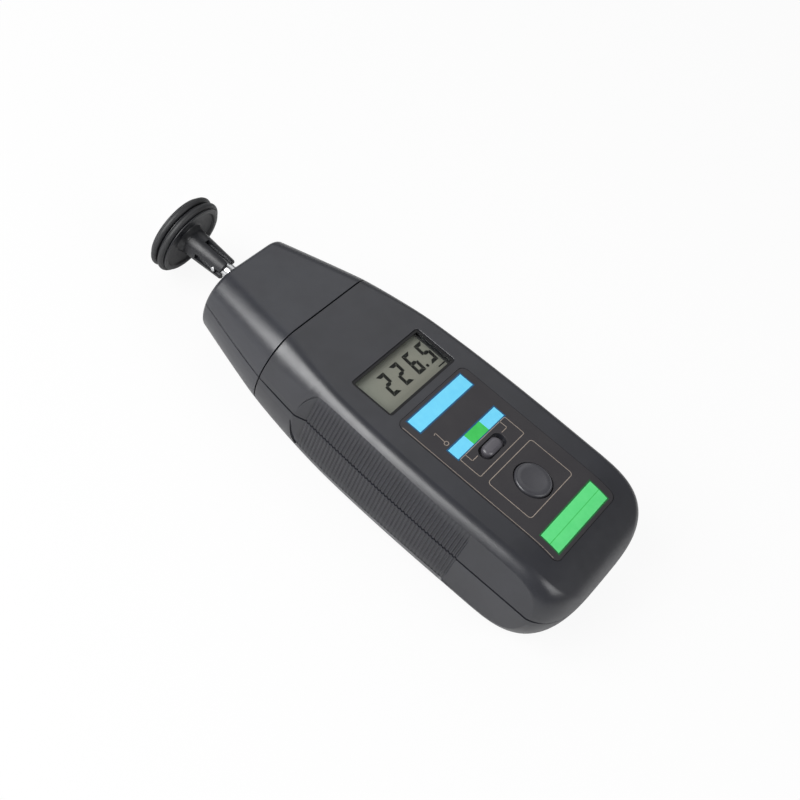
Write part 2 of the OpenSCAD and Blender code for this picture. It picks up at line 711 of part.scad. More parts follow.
// Memory button, its switch and stem
memory_flange_d = memory_d + 3;
memory_flange_t = 1.1;
memory_stem_d = 7;
memory_stem_z = 33.2;
memory_switch_w = 12;
memory_switch_h = 4.3;
memory_plunger_d = 6.8;
memory_plunger_l = 2.4;
memory_dish_depth = 0.5;
memory_edge = 0.6;
module memory_button() {
    top = body_h + memory_proud;
    flange_z = body_h - wall - control_gap - memory_flange_t;
    dish_r = (pow(memory_d / 2 - memory_edge, 2) + pow(memory_dish_depth, 2)) / (2 * memory_dish_depth);
    color("#46474b") translate([0, memory_y, 0]) difference() {
        union() {
            post(flange_z, top - memory_edge, memory_d);
            translate([0, 0, top - memory_edge])
                cylinder(d1 = memory_d, d2 = memory_d - 2 * memory_edge, h = memory_edge, $fn = 64);
            post(flange_z, flange_z + memory_flange_t, memory_flange_d);
            post(memory_stem_z, flange_z + memory_flange_t, memory_stem_d);
        }
        translate([0, 0, top + dish_r - memory_dish_depth]) sphere(r = dish_r, $fn = 96);
    }
}
module memory_switch() {
    color("#26272a") translate([0, memory_y, 0]) difference() {
        block(0, 0, board_z, memory_switch_w, memory_switch_w, memory_switch_h);
        post(memory_stem_z - memory_plunger_l - memory_travel - fit_gap,
            board_z + memory_switch_h + over, memory_plunger_d + 2 * fit_gap);
    }
}
module memory_plunger() {
    color("#a03a30") translate([0, memory_y, 0])
        post(memory_stem_z - memory_plunger_l, memory_stem_z, memory_plunger_d);
}

// Slide knob and its switch
knob_flange_t = 0.8;
knob_stem_w = 3;
knob_stem_t = 2.4;
knob_switch_l = 15;
knob_switch_w = 6.6;
knob_switch_h = 4.6;
knob_dip = 2;
module function_knob() {
    flange_z = body_h - wall - control_gap - knob_flange_t;
    top = body_h + knob_proud;
    crown_r = knob_w / 2;
    color("#4a4a4f") translate([0, knob_y, 0]) {
        translate([0, 0, flange_z]) linear_extrude(top - crown_r / 2 - flange_z) stadium(knob_l, knob_w);
        translate([0, 0, top - crown_r / 2]) intersection() {
            translate([-knob_l / 2, -crown_r, 0]) cube([knob_l, knob_w, crown_r / 2]);
            union() {
                translate([-(knob_l - knob_w) / 2, 0, -crown_r / 2]) rotate([0, 90, 0])
                    cylinder(r = crown_r, h = knob_l - knob_w);
                for (side = [-1, 1]) translate([side * (knob_l - knob_w) / 2, 0, -crown_r / 2])
                    sphere(r = crown_r);
            }
        }
        translate([0, 0, flange_z]) linear_extrude(knob_flange_t)
            square([slot_l + 2 * knob_travel + 2, slot_w + 3], center = true);
        block(0, 0, board_z + knob_switch_h - knob_dip, knob_stem_w, knob_stem_t,
            flange_z - board_z - knob_switch_h + knob_dip);
    }
}
module function_switch() {
    color("#9b9da0") translate([0, knob_y, 0]) difference() {
        block(0, 0, board_z, knob_switch_l, knob_switch_w, knob_switch_h);
        block(0, 0, board_z + knob_switch_h - knob_dip - fit_gap,
            knob_stem_w + 2 * knob_travel + 4 * fit_gap, knob_stem_t + 4 * fit_gap, knob_dip + over);
    }
}

// Measuring button on the right side, its switch and stem
measure_depth = 5.14;
measure_flange_x = measure_face_x - measure_depth;
measure_flange_t = 1.2;
measure_flange_margin = 1.2;
measure_stem_l = 2;
measure_stem_x = measure_flange_x - measure_stem_l;
measure_switch_l = 6;
measure_switch_h = 4;
measure_plunger_d = 1.6;
measure_plunger_l = 5.4;
module facing_x(x) {
    translate([x, measure_y, measure_z]) rotate([90, 0, 90]) children();
}
module measure_button() {
    color("#8f2f2a") {
        facing_x(measure_flange_x)
            linear_extrude(measure_face_x + measure_proud - measure_flange_x)
                stadium(measure_l, measure_h);
        facing_x(measure_flange_x) linear_extrude(measure_flange_t)
            stadium(measure_l + 2 * measure_flange_margin, measure_h + 2 * measure_flange_margin);
        facing_x(measure_stem_x) cylinder(d = measure_plunger_d + 1, h = measure_flange_x - measure_stem_x);
    }
}
module measure_switch() {
    color("#26272a") difference() {
        translate([board_w / 2 - measure_switch_l, measure_y - measure_switch_l / 2, board_z])
            cube([measure_switch_l, measure_switch_l, measure_switch_h]);
        facing_x(measure_stem_x - measure_plunger_l - measure_travel - fit_gap)
            cylinder(d = measure_plunger_d + 2 * fit_gap, h = measure_plunger_l + measure_travel);
    }
}
module measure_plunger() {
    color("#d8d3c4") facing_x(measure_stem_x - measure_plunger_l)
        cylinder(d = measure_plunger_d, h = measure_plunger_l);
}

// Spindle, its bearings and what turns with it
housing_d = 18;
housing_bore_d = 10.6;
housing_base_t = 2.6;
housing_base_w = 26.4;
housing_base_rear = 2.7;
housing_base_front = 4.1;
housing_base_y0 = housing_y0 + housing_base_rear;
housing_base_l = housing_y1 - housing_base_front - housing_base_y0;
bearing_d = 13;
bearing_w = 5;
bearing_race_d0 = 8.2;
bearing_race_d1 = 11;
bearing_shield = 0.3;
rear_bearing_y = housing_y0 + 2 * fit_gap;
front_bearing_y = housing_y1 - bearing_w - 2 * fit_gap;
shoulder_d = 8;
shoulder_l = 2;
disc_hub_d = 10;
disc_hub_l = 4.6;
shaft_tail_l = 2;
shaft_y0 = disc_y - shaft_tail_l;
ring_space = 1;
ring_y = housing_y0 - ring_space;
ring_t = 0.8;
ring_groove_d = 5;
ring_clip_d = 9.6;
hub_y0 = spindle_y - hub_l + 0.9;
wheel_y0 = hub_y0 + hub_l;
pin_l = 9.2;
pin_y = hub_y0 + 3.4;
module spindle_shaft() {
    color("#d5d6d8") difference() {
        union() {
            along_y(shaft_y0) cylinder(d = spindle_d, h = spindle_y - shaft_y0 - 0.6);
            along_y(spindle_y - 0.6) cylinder(d1 = spindle_d, d2 = spindle_d - 1.2, h = 0.6);
            along_y(rear_bearing_y + bearing_w + fit_gap) cylinder(d = shoulder_d, h = shoulder_l);
        }
        along_y(ring_y) difference() {
            cylinder(d = spindle_d + over, h = ring_t);
            translate([0, 0, -over]) cylinder(d = ring_groove_d, h = ring_t + 2 * over);
        }
        translate([-spindle_d, pin_y, spindle_z]) rotate([0, 90, 0])
            cylinder(d = pin_d, h = 2 * spindle_d);
    }
}
module spindle_pin() {
    color("#c9cacd") translate([-pin_l / 2, pin_y, spindle_z]) rotate([0, 90, 0])
        cylinder(d = pin_d, h = pin_l);
}
module bearing(y) {
    bore_d = spindle_d + 2 * running_gap;
    color("#b9bbbf") along_y(y) difference() {
        cylinder(d = bearing_d, h = bearing_w);
        translate([0, 0, -over]) cylinder(d = bore_d, h = bearing_w + 2 * over);
        for (z = [-over, bearing_w - bearing_shield]) translate([0, 0, z]) difference() {
            cylinder(d = bearing_race_d1, h = over + bearing_shield);
            translate([0, 0, -over]) cylinder(d = bearing_race_d0, h = 3 * over + bearing_shield);
        }
    }
}
module front_bearing() {
    bearing(front_bearing_y);
}
module rear_bearing() {
    bearing(rear_bearing_y);
}
module bearing_housing() {
    seat_l = bearing_w + 2 * fit_gap + 0.1;
    mid_y = housing_base_y0 + housing_base_l / 2;
    color("#5d6166") difference() {
        union() {
            along_y(housing_y0) cylinder(d = housing_d, h = housing_y1 - housing_y0);
            block(0, mid_y, housing_base_z, housing_base_w, housing_base_l, housing_base_t);
            block(0, mid_y, housing_base_z, housing_d / 2, housing_base_l, spindle_z - housing_base_z
                - housing_bore_d / 2 - 1.5);
        }
        along_y(housing_y0 - over) cylinder(d = housing_bore_d, h = housing_y1 - housing_y0 + 2 * over);
        along_y(housing_y0 - over) cylinder(d = bearing_d + fit_gap, h = over + seat_l);
        along_y(housing_y1 - seat_l) cylinder(d = bearing_d + fit_gap, h = over + seat_l);
        at_each(housing_screws_at) post(housing_base_z - over, housing_base_z + housing_base_t + over,
            small_screw_d + 2 * fit_gap);
    }
}
module retaining_ring() {
    color("#8d8f93") difference() {
        along_y(ring_y) difference() {
            cylinder(d = ring_clip_d, h = ring_t - fit_gap);
            translate([0, 0, -over]) cylinder(d = ring_groove_d, h = ring_t + over);
        }
        translate([-ring_groove_d * 0.4, ring_y - over, spindle_z])
            cube([ring_groove_d * 0.8, ring_t + 2 * over, ring_clip_d]);
    }
}
module encoder_disc() {
    slot_l = 4;
    slot_w = 1.6;
    slot_r = disc_d / 2 - slot_l - 0.8;
    color("#2c2d30") difference() {
        union() {
            along_y(disc_y) cylinder(d = disc_d, h = disc_t);
            along_y(disc_y - disc_hub_l / 2 + disc_t) cylinder(d = disc_hub_d, h = disc_hub_l);
        }
        along_y(disc_y - disc_hub_l) cylinder(d = spindle_d, h = 3 * disc_hub_l);
        for (k = [0 : disc_slots - 1]) along_y(disc_y - over) rotate([0, 0, 360 * k / disc_slots])
            translate([slot_r, -slot_w / 2, 0]) cube([slot_l, slot_w, disc_t + 2 * over]);
    }
}

module measuring_wheel() {
    seat_d = wheel_d - 2 * ring_d;
    rim_d = wheel_d - ring_d - 0.4;
    seat_w = ring_d + fit_gap;
    edge = (wheel_w - 2 * seat_w) / 3;
    web_d = seat_d - 2.4;
    web_dip = 1.4;
    bore_d = spindle_d + 2 * running_gap;
    y1 = hub_l + wheel_w;
    profile = [
        [0, spindle_y - hub_y0 + 0.3], [bore_d / 2, spindle_y - hub_y0 + 0.3], [bore_d / 2, 0],
        [hub_tip_d / 2, 0], [hub_root_d / 2, hub_l - 0.6], [hub_root_d / 2 + 0.8, hub_l + web_dip],
        [web_d / 2, hub_l + 0.6 * web_dip], [web_d / 2 + 0.4, hub_l], [rim_d / 2, hub_l],
        [rim_d / 2, hub_l + edge], [seat_d / 2, hub_l + edge], [seat_d / 2, hub_l + edge + seat_w],
        [rim_d / 2, hub_l + edge + seat_w], [rim_d / 2, y1 - edge - seat_w],
        [seat_d / 2, y1 - edge - seat_w], [seat_d / 2, y1 - edge], [rim_d / 2, y1 - edge],
        [rim_d / 2, y1], [web_d / 2 + 0.4, y1], [web_d / 2, y1 - web_dip],
        [hub_root_d / 2, y1 - web_dip], [hub_root_d / 2 - 1, y1 - 0.4], [0, y1 - 0.4]];
    color("#28292d") difference() {
        along_y(hub_y0) rotate_extrude($fn = 96) polygon(profile);
        for (a = [0, 90]) along_y(hub_y0 - over) rotate([0, 0, a])
            translate([-hub_root_d, -pin_d / 2 - fit_gap / 2, 0])
                cube([2 * hub_root_d, pin_d + fit_gap, hub_slot_l + over]);
    }
}
module wheel_rings() {
    seat_w = ring_d + fit_gap;
    edge = (wheel_w - 2 * seat_w) / 3;
    color("#1d1e20") for (y = [edge + seat_w / 2, wheel_w - edge - seat_w / 2])
        along_y(wheel_y0 + y) rotate_extrude($fn = 96)
            translate([wheel_d / 2 - ring_d / 2, 0]) circle(d = ring_d, $fn = 24);
}

// Light sensor, its board and lead
sensor_l = 6.5;
sensor_gap = 1.8;
sensor_h = 8;
sensor_inner_x = disc_d / 2 - 4.6;
module photo_interrupter() {
    face_x = sensor_x - sensor_board_t / 2;
    color("#1f2023") difference() {
        translate([sensor_inner_x, disc_y + disc_t / 2 - sensor_l / 2, spindle_z - sensor_h / 2])
            cube([face_x - sensor_inner_x, sensor_l, sensor_h]);
        translate([sensor_inner_x - over, disc_y + disc_t / 2 - sensor_gap / 2,
            spindle_z - sensor_h / 2 - over])
            cube([disc_d / 2 - sensor_inner_x + 2 * over, sensor_gap, sensor_h + 2 * over]);
    }
}
module sensor_board() {
    color("#2f6b45") block(sensor_x, sensor_y, sensor_board_z0, sensor_board_t, sensor_board_l,
        sensor_board_z1 - sensor_board_z0);
}
lead_w = 5;
lead_t = 0.7;
module sensor_lead() {
    x = sensor_x - sensor_board_t / 2;
    end_y = board_front_y - 3.6;
    run_z = 31.4;
    color("#b8b2a2") translate([x - lead_w, 0, 0]) rotate([90, 0, 90]) linear_extrude(lead_w)
        polygon([
            [sensor_y, sensor_board_z1 - 3], [sensor_y, run_z], [end_y, run_z], [end_y, board_z],
            [end_y + lead_t, board_z], [end_y + lead_t, run_z - lead_t],
            [sensor_y - lead_t, run_z - lead_t], [sensor_y - lead_t, sensor_board_z1 - 3]]);
}

// Cells and their contacts; neighbouring cells point opposite ways
plate_t = 0.4;
plate_w = 10.4;
spring_len = bay_l - 2 * plate_t - cell_l;
spring_d = 7;
spring_wire = 0.7;
spring_turns = 3;
nub_d = 5.4;
nub_l = 1;
function cell_x(i) = (i - 2.5) * cell_pitch;
function nub_forward(i) = i % 2 == 1;
module cell(i) {
    tail = bay_rear_y + plate_t;
    y0 = nub_forward(i) ? tail + spring_len : tail;
    color("#2e6f8e") translate([cell_x(i), y0, cell_z]) rotate([-90, 0, 0]) {
        translate([0, 0, nub_forward(i) ? 0 : nub_l]) cylinder(d = cell_d, h = cell_l - nub_l);
        translate([0, 0, nub_forward(i) ? cell_l - nub_l - root : 0])
            cylinder(d = nub_d, h = nub_l + root);
    }
}
module contact_plates() {
    color("#c8c9c4") {
        for (y = [bay_rear_y, bay_front_y - plate_t]) for (i = [1 : 4])
            translate([cell_x(i) - plate_w / 2, y, cell_z - plate_w / 2])
                cube([plate_w, plate_t, plate_w]);
        for (i = [1, 3]) translate([cell_x(i), bay_rear_y, cell_z]) cube([cell_pitch, plate_t, 3]);
        translate([cell_x(2), bay_front_y - plate_t, cell_z]) cube([cell_pitch, plate_t, 3]);
    }
}
// One coil spring from the plate to the cell, swept as a tube of six sides
spring_rings = 8;
spring_sides = 6;
function spring_point(k, n) = let (q = 360 * spring_turns * k / n, c = spring_d / 2 - spring_wire / 2)
    [c * cos(q), c * sin(q), spring_wire / 2 + (spring_len - spring_wire) * k / n];
module coil() {
    n = spring_turns * spring_rings;
    rings = [for (k = [0 : n]) let (q = 360 * spring_turns * k / n, p = spring_point(k, n))
        for (j = [0 : spring_sides - 1]) let (a = 360 * j / spring_sides)
            p + spring_wire / 2 * [cos(a) * cos(q), cos(a) * sin(q), sin(a)]];
    s = spring_sides;
    faces = concat(
        [for (k = [0 : n - 1]) for (j = [0 : s - 1]) for (t = [0, 1]) let (i = (j + 1) % s)
            t == 0 ? [k * s + j, (k + 1) * s + j, (k + 1) * s + i] : [k * s + j, (k + 1) * s + i, k * s + i]],
        [[for (j = [0 : s - 1]) j]], [[for (j = [s - 1 : -1 : 0]) n * s + j]]);
    polyhedron(points = rings, faces = faces);
}
module contact_springs() {
    color("#b9bbb6") for (i = [1 : 4]) {
        y = nub_forward(i) ? bay_rear_y + plate_t : bay_front_y - plate_t - spring_len;
        translate([cell_x(i), y, cell_z]) rotate([-90, 0, 0]) coil();
    }
}

module case_screws() {
    color("#6b6d70") at_each(case_screws_at) screw(head_well_z - screw_head_h, screw_head_d,
        screw_head_h, screw_d, split_h - head_well_z + screw_bite - root);
}
module nose_screws() {
    color("#6b6d70") at_each(nose_screws_at) screw(head_well_z - screw_head_h, screw_head_d,
        screw_head_h, screw_d, split_h - head_well_z + screw_bite - root);
}
module board_screws() {
    color("#9a9ca0") at_each(board_screws_at) screw(board_z - board_t - small_head_h, small_head_d,
        small_head_h, small_screw_d, board_t + small_bite - root);
}
module housing_screws() {
    top = housing_base_z + housing_base_t;
    color("#9a9ca0") at_each(housing_screws_at) translate([0, 0, 2 * top]) mirror([0, 0, 1])
        screw(top - small_head_h, small_head_d, small_head_h, small_screw_d, housing_base_t + 2);
}

upper_shell();
lower_shell();
nose_upper();
nose_lower();
battery_cover();
face_overlay();
display_window();
lcd_module();
lcd_holder();
lcd_connectors();
main_board();
microcontroller();
board_components();
memory_button();
memory_switch();
memory_plunger();
function_knob();
function_switch();
measure_button();
measure_switch();
measure_plunger();
measuring_wheel();
wheel_rings();
spindle_shaft();
spindle_pin();
front_bearing();
rear_bearing();
bearing_housing();
retaining_ring();
encoder_disc();
photo_interrupter();
sensor_board();
sensor_lead();
cell(1);  // cell_1
cell(2);  // cell_2
cell(3);  // cell_3
cell(4);  // cell_4
contact_springs();
contact_plates();
case_screws();
nose_screws();
board_screws();
housing_screws();
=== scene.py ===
import math

import bmesh
import bpy
from mathutils import Matrix, Vector


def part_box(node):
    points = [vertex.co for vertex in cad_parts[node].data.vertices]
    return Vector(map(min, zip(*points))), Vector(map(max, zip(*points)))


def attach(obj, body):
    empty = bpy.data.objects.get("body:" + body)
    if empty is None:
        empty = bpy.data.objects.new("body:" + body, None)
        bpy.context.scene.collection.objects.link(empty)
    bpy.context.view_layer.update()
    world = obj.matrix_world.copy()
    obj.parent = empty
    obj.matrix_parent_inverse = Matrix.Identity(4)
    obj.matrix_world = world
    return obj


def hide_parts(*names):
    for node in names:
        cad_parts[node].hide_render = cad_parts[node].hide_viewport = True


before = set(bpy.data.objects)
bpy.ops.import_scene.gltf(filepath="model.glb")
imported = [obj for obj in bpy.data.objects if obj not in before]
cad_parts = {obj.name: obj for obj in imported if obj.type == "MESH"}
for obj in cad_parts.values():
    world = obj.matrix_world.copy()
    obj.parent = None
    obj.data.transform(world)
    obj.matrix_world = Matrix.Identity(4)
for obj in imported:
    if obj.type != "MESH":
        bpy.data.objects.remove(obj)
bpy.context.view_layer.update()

# Camera. It looks down on the meter from the left, a little from the tail, from about half a
# metre away, through a lens long enough to keep the two sides of the casing nearly parallel.
camera_place = Vector((-0.36035, -0.06563, 0.42701))
camera_right = Vector((0.56662, -0.75372, 0.33294))
camera_forward = Vector((0.65860, 0.17145, -0.73270))


def new_object(name, data):
    made = bpy.data.objects.new(name, data)
    bpy.context.scene.collection.objects.link(made)
    return made


camera_data = bpy.data.cameras.new("camera")
camera_data.sensor_width = 36
camera_data.lens = 67.1
camera = new_object("camera", camera_data)
camera_turn = Matrix((camera_right, camera_right.cross(camera_forward), -camera_forward)).transposed()
camera.matrix_world = Matrix.Translation(camera_place) @ camera_turn.to_4x4()
bpy.context.scene.camera = camera
bpy.context.scene.view_settings.view_transform = "Standard"

# Table and light. The table is a matt white sheet that runs on as a white background, and the
# light is a large soft box beside the camera, two weaker ones beyond the meter and at its tail,
# and a pale room all round.
table_size = 4.0
table_drop = 0.0003
table_white = 0.82
table_glow = 0.92
room_strength = 0.2


def add_node(tree, kind, sockets=None, **settings):
    """Adds a node with its settings; a socket takes a value, or the output that feeds it."""
    node = tree.nodes.new(kind)
    for name, value in settings.items():
        setattr(node, name, value)
    for name, value in (sockets or {}).items():
        if isinstance(value, bpy.types.NodeSocket):
            tree.links.new(value, node.inputs[name])
        else:
            node.inputs[name].default_value = value
    return node


def empty_tree(owner):
    """The node tree of a material or of the world, emptied."""
    owner.use_nodes = True
    owner.node_tree.nodes.clear()
    return owner.node_tree


table_mesh = bmesh.new()
bmesh.ops.create_grid(table_mesh, x_segments=1, y_segments=1, size=table_size / 2,
                      matrix=Matrix.Translation((0, 0, -table_drop)))
table_data = bpy.data.meshes.new("table")
table_mesh.to_mesh(table_data)
table_mesh.free()
table = new_object("table", table_data)
table_paper = bpy.data.materials.new("matt_white_sheet")
paper_tree = empty_tree(table_paper)
paper_matt = add_node(paper_tree, "ShaderNodeBsdfDiffuse", {"Color": (table_white,) * 3 + (1,)})
paper_white = add_node(paper_tree, "ShaderNodeEmission", {"Color": (1, 1, 1, 1), "Strength": 1.0})
paper_path = add_node(paper_tree, "ShaderNodeLightPath")
paper_share = add_node(paper_tree, "ShaderNodeMath", {0: paper_path.outputs["Is Camera Ray"],
                                                      1: table_glow}, operation="MULTIPLY")
paper_mix = add_node(paper_tree, "ShaderNodeMixShader", {0: paper_share.outputs[0],
                                                         1: paper_matt.outputs[0],
                                                         2: paper_white.outputs[0]})
add_node(paper_tree, "ShaderNodeOutputMaterial", {"Surface": paper_mix.outputs[0]})
table_data.materials.append(table_paper)

room = bpy.data.worlds.new("room")
bpy.context.scene.world = room
room_tree = empty_tree(room)
room_path = add_node(room_tree, "ShaderNodeLightPath")
room_level = add_node(room_tree, "ShaderNodeMapRange", {"Value": room_path.outputs["Is Camera Ray"],
                                                        "To Min": room_strength, "To Max": 1.0})
room_light = add_node(room_tree, "ShaderNodeBackground", {"Color": (1, 1, 1, 1),
                                                          "Strength": room_level.outputs[0]})
add_node(room_tree, "ShaderNodeOutputWorld", {"Surface": room_light.outputs[0]})


def soft_box(name, direction, distance, width, height, power):
    """A rectangular lamp that faces the middle of the meter."""
    data = bpy.data.lights.new(name, "AREA")
    data.shape = "RECTANGLE"
    data.size = width
    data.size_y = height
    data.energy = power
    lamp = new_object(name, data)
    aim = Vector(direction).normalized()
    middle = Vector((0, 0, 0.02))
    lamp.matrix_world = (Matrix.Translation(middle + aim * distance)
                         @ aim.to_track_quat("Z", "Y").to_matrix().to_4x4())


soft_box("side_soft_box", (-0.66, 0.45, 0.60), 0.95, 0.75, 0.62, 10.2)
soft_box("far_soft_box", (0.557, 0.435, 0.707), 1.2, 0.97, 0.8, 1.6)
soft_box("tail_soft_box", (0.10, -0.76, 0.64), 1.0, 0.6, 0.5, 3.0)

# Upper half of the body. One injection moulding in charcoal ABS with a fine spark-eroded satin
# skin; it carries the display, the panel sheet and the board, and four long screws from the back
# hold it to the lower half.
MM = 0.001


def box_mm(node):
    """Lowest and highest corner of a CAD node, in millimetres."""
    low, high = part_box(node)
    return low / MM, high / MM


upper_low, upper_high = box_mm("upper_shell")
split_h = upper_low.z
body_h = upper_high.z
tail_l = 69.6
seam_y = upper_high.y
nose_y = box_mm("nose_upper")[1].y
nose_l = nose_y - seam_y
body_w = 76
seam_w = 63.6
nose_w = 43.4
nose_drop = 5.2
seam_rise = 2.7
nose_rise = 4.6
wall = 2.2
body_corner = 8
seam_corner = 12.6
nose_corner = 11.2
back_corner = 10
wide_at = 30
tail_start = 40
corner_y = 40
rise_y = 30
waist_power = 2.7
nose_power = 1.08
rise_power = 1.5
tail_plan_power = 3.8
tail_side_power = 2.2
grip_w = 72.6
grip_front_y = 46.5
grip_rear_y = -28
grip_bow = 3.1
grip_slope = math.tan(math.radians(6))
grip_inset = 1.8
rib_pitch = 1.6
rib_depth = 0.4
rib_outline_shares = ((0, 0), (0.22, 1), (0.48, 1), (0.70, 0))
rib_count = int((grip_front_y - grip_rear_y) / rib_pitch)
ramp_l = 6
ramp_h = 2.2
measure_y = 14.8
plain_field = 10
crease_depth = 0.6
crease_angle = math.radians(1.6)
crease_fall = 5 * crease_angle
crease_fade_l = 3
least_lean = 0.1
parting_depth = 1.0
parting_half_w = 0.42
parting_floor = 0.75
least_h = 0.4
widest_start = 0.5
mould_edge = 0.25
flat_steps = 5
round_steps = 13
no_grip = 1000.0


def blend(a, b, share):
    return a + (b - a) * share


def half_width(y, inset, tail_inset):
    """Half width of the casing at y, inset at the sides and at the end of the tail."""
    if y > seam_y:
        return blend(seam_w, nose_w, ((y - seam_y) / nose_l) ** nose_power) / 2 - inset
    if y > -wide_at:
        share = (y + wide_at) / (seam_y + wide_at)
        return blend(body_w, seam_w, share ** waist_power) / 2 - inset
    if y > -tail_start:
        return body_w / 2 - inset
    share = min(1, (-tail_start - y) / (tail_l - tail_inset - tail_start))
    return (body_w / 2 - inset) * (1 - share ** tail_plan_power) ** (1 / tail_plan_power)


def level(y, inset, up):
    """Height of the face, or of the back, at y."""
    if y > seam_y:
        share = (y - seam_y) / nose_l
        return (body_h - inset - nose_drop * share if up
                else inset + blend(seam_rise, nose_rise, share))
    flat = (body_h - inset if up else
            inset + seam_rise * (max(0, y - rise_y) / (seam_y - rise_y)) ** rise_power)
    if y > -tail_start:
        return flat
    share = min(1, (-tail_start - y) / (tail_l - inset - tail_start))
    return blend(split_h, flat, (1 - share ** tail_side_power) ** (1 / tail_side_power))


def corner(y, up):
    """Width of the rounding beside the face or the back."""
    if not up:
        return back_corner
    if y > seam_y:
        return blend(seam_corner, nose_corner, (y - seam_y) / nose_l)
    share = max(0, y - corner_y) / (seam_y - corner_y)
    return blend(body_corner, seam_corner, share ** rise_power)


def grip_x(y):
    """Half width of the flat grip on the parting plane."""
    return grip_w / 2 - grip_bow * (max(0, y + wide_at) / (grip_front_y + wide_at)) ** 2


def grip_at(y, depth, plain):
    """How far out the grip lies and how deep its ribs are cut: the ramp in front, the ribs, and
    on one side a plain field among them."""
    if y > grip_front_y + ramp_l:
        return no_grip, 0
    if y > grip_front_y:
        return grip_x(grip_front_y) + ramp_h * (y - grip_front_y) / ramp_l, 0
    if plain and abs(y - measure_y) < plain_field:
        return grip_x(y), 0
    return grip_x(y), depth


def half_ring(y, inset, tail_inset, up, grips=((no_grip, 0), (no_grip, 0)), line=0.0):
    """Section of a half moulding from the right parting line over the face, or under the back,
    to the left one. line is the depth of the chamfer that shows as the parting line. The ribs
    run out into a groove below the crease, where the flat grip meets the rounding."""
    a = half_width(y, inset, tail_inset)
    r = min(a, corner(y, up) - inset)
    h = level(y, tail_inset, up) - split_h
    sides = []
    for reach, cut in grips:
        slant = grip_slope * abs(h)
        size = math.hypot(r, slant)
        lean = math.atan2(slant, r)
        crease = lean + math.acos(min(1, (reach - a + r) / size))
        start = math.asin(min(widest_start, parting_half_w / max(least_h, abs(h))))
        groove = crease_depth * (reach < no_grip and crease > lean + least_lean)
        for inside in (y - grip_rear_y, grip_front_y + ramp_l - y):
            groove *= min(1, max(0, inside) / crease_fade_l)
        stops = [(0, line), (start * parting_floor, line), (crease - crease_angle, groove)]
        stops += [(blend(start, crease - crease_fall, k / flat_steps), cut)
                  for k in range(flat_steps + 1)]
        stops += [(blend(crease, math.pi / 2, k / round_steps), 0) for k in range(round_steps + 1)]
        side = []
        for q, depth in sorted(stops):
            x = min(a - r + r * math.cos(q), reach - slant * math.sin(q)) - depth
            side.append((x, split_h + h * math.sin(q)))
        sides.append(side)
    return [(x, y, z) for x, z in sides[0]] + [(-x, y, z) for x, z in reversed(sides[1])]


def tail_places(steps, end):
    """Places along the rounded tail, from its end forward, close together where it turns."""
    shares = [math.cos(math.pi / 2 * (k + 0.3) / steps) ** (2 / tail_plan_power) for k in range(steps)]
    return [-tail_start - share * (end - tail_start) for share in shares]


def edge_rings(end, back, size, steps, up):
    """Rings over a rounded edge, from the side of the casing to its flat end; back is 1 or -1, the
    way in which the side lies from the end."""
    rings = []
    for k in range(steps + 1):
        q = math.pi / 2 * k / steps
        inset = size * (1 - math.cos(q))
        rings.append(half_ring(end + back * size * (1 - math.sin(q)), inset, inset, up,
                               line=parting_depth))
    return rings


def body_rings(up):
    """Rings of a half of the body: outside from the tail to the seam, then inside back again."""
    rings = []
    places = [(y, 0) for y in tail_places(26, tail_l)]
    places += [(y, 0) for y in (-40, -37, -34, -31)]
    for k in range(rib_count, 0, -1):
        for share, depth in reversed(rib_outline_shares):
            places.append((grip_front_y - (k - 1 + share) * rib_pitch, depth * rib_depth))
    places += [(grip_front_y + ramp_l * k / 6, 0) for k in range(1, 7)]
    places += [(blend(grip_front_y + ramp_l, seam_y - 1, k / 10), 0) for k in range(1, 11)]
    for y, depth in places:
        grips = [grip_at(y, depth, plain) for plain in (True, False)]
        rings.append(half_ring(y, 0, 0, up, grips, parting_depth))
    rings += edge_rings(seam_y, -1, mould_edge, 4, up)
    inner = [blend(seam_y, -tail_start, k / 16) for k in range(17)]
    for y in inner + tail_places(12, tail_l - wall)[::-1]:
        share = min(1, (seam_y - y) / (seam_y - grip_front_y - ramp_l))
        rings.append(half_ring(y, wall + grip_inset * share, wall, up))
    return rings


def add_skin(bm, rings, closed=True, capped=True):
    """Joins rings of points in millimetres into a skin and closes its ends. Open rings are also
    closed by one flat face through their ends."""
    rows = [[bm.verts.new(Vector(p) * MM) for p in ring] for ring in rings]
    count = len(rows[0])
    pairs = list(zip(rows, rows[1:])) + ([] if capped else [(rows[-1], rows[0])])
    for near, far in pairs:
        for i in range(count if closed else count - 1):
            j = (i + 1) % count
            bm.faces.new((near[i], near[j], far[j], far[i]))
    if capped:
        bm.faces.new(rows[0][::-1])
        bm.faces.new(rows[-1])
    if not closed:
        bm.faces.new([row[0] for row in rows] + [row[-1] for row in reversed(rows)])


def rounded(w, l, r, x=0.0, y=0.0, steps=8):
    """Outline of a rectangle with round corners; it takes how far out to move it."""
    def outline(out):
        points = []
        c = max(0, r + out)
        for k, (i, j) in enumerate(((1, 1), (-1, 1), (-1, -1), (1, -1))):
            for step in range(steps + 1):
                q = math.pi / 2 * (k + step / max(1, steps))
                points.append((x + i * (w / 2 + out - c) + c * math.cos(q),
                               y + j * (l / 2 + out - c) + c * math.sin(q)))
        return points
    return outline


def add_prism(bm, outline, levels, turn=Matrix(), capped=True):
    """A closed solid through copies of one outline; a level is its height and how far out. Where it
    isn't capped, the last level joins the first, as in a frame."""
    add_skin(bm, [[turn @ Vector((px, py, z)) for px, py in outline(out)] for z, out in levels],
             capped=capped)


def add_plate(bm, points, low, high, turn=Matrix()):
    """A closed solid on an outline of points, between two heights."""
    add_skin(bm, [[turn @ Vector((px, py, z)) for px, py in points] for z in (low, high)])


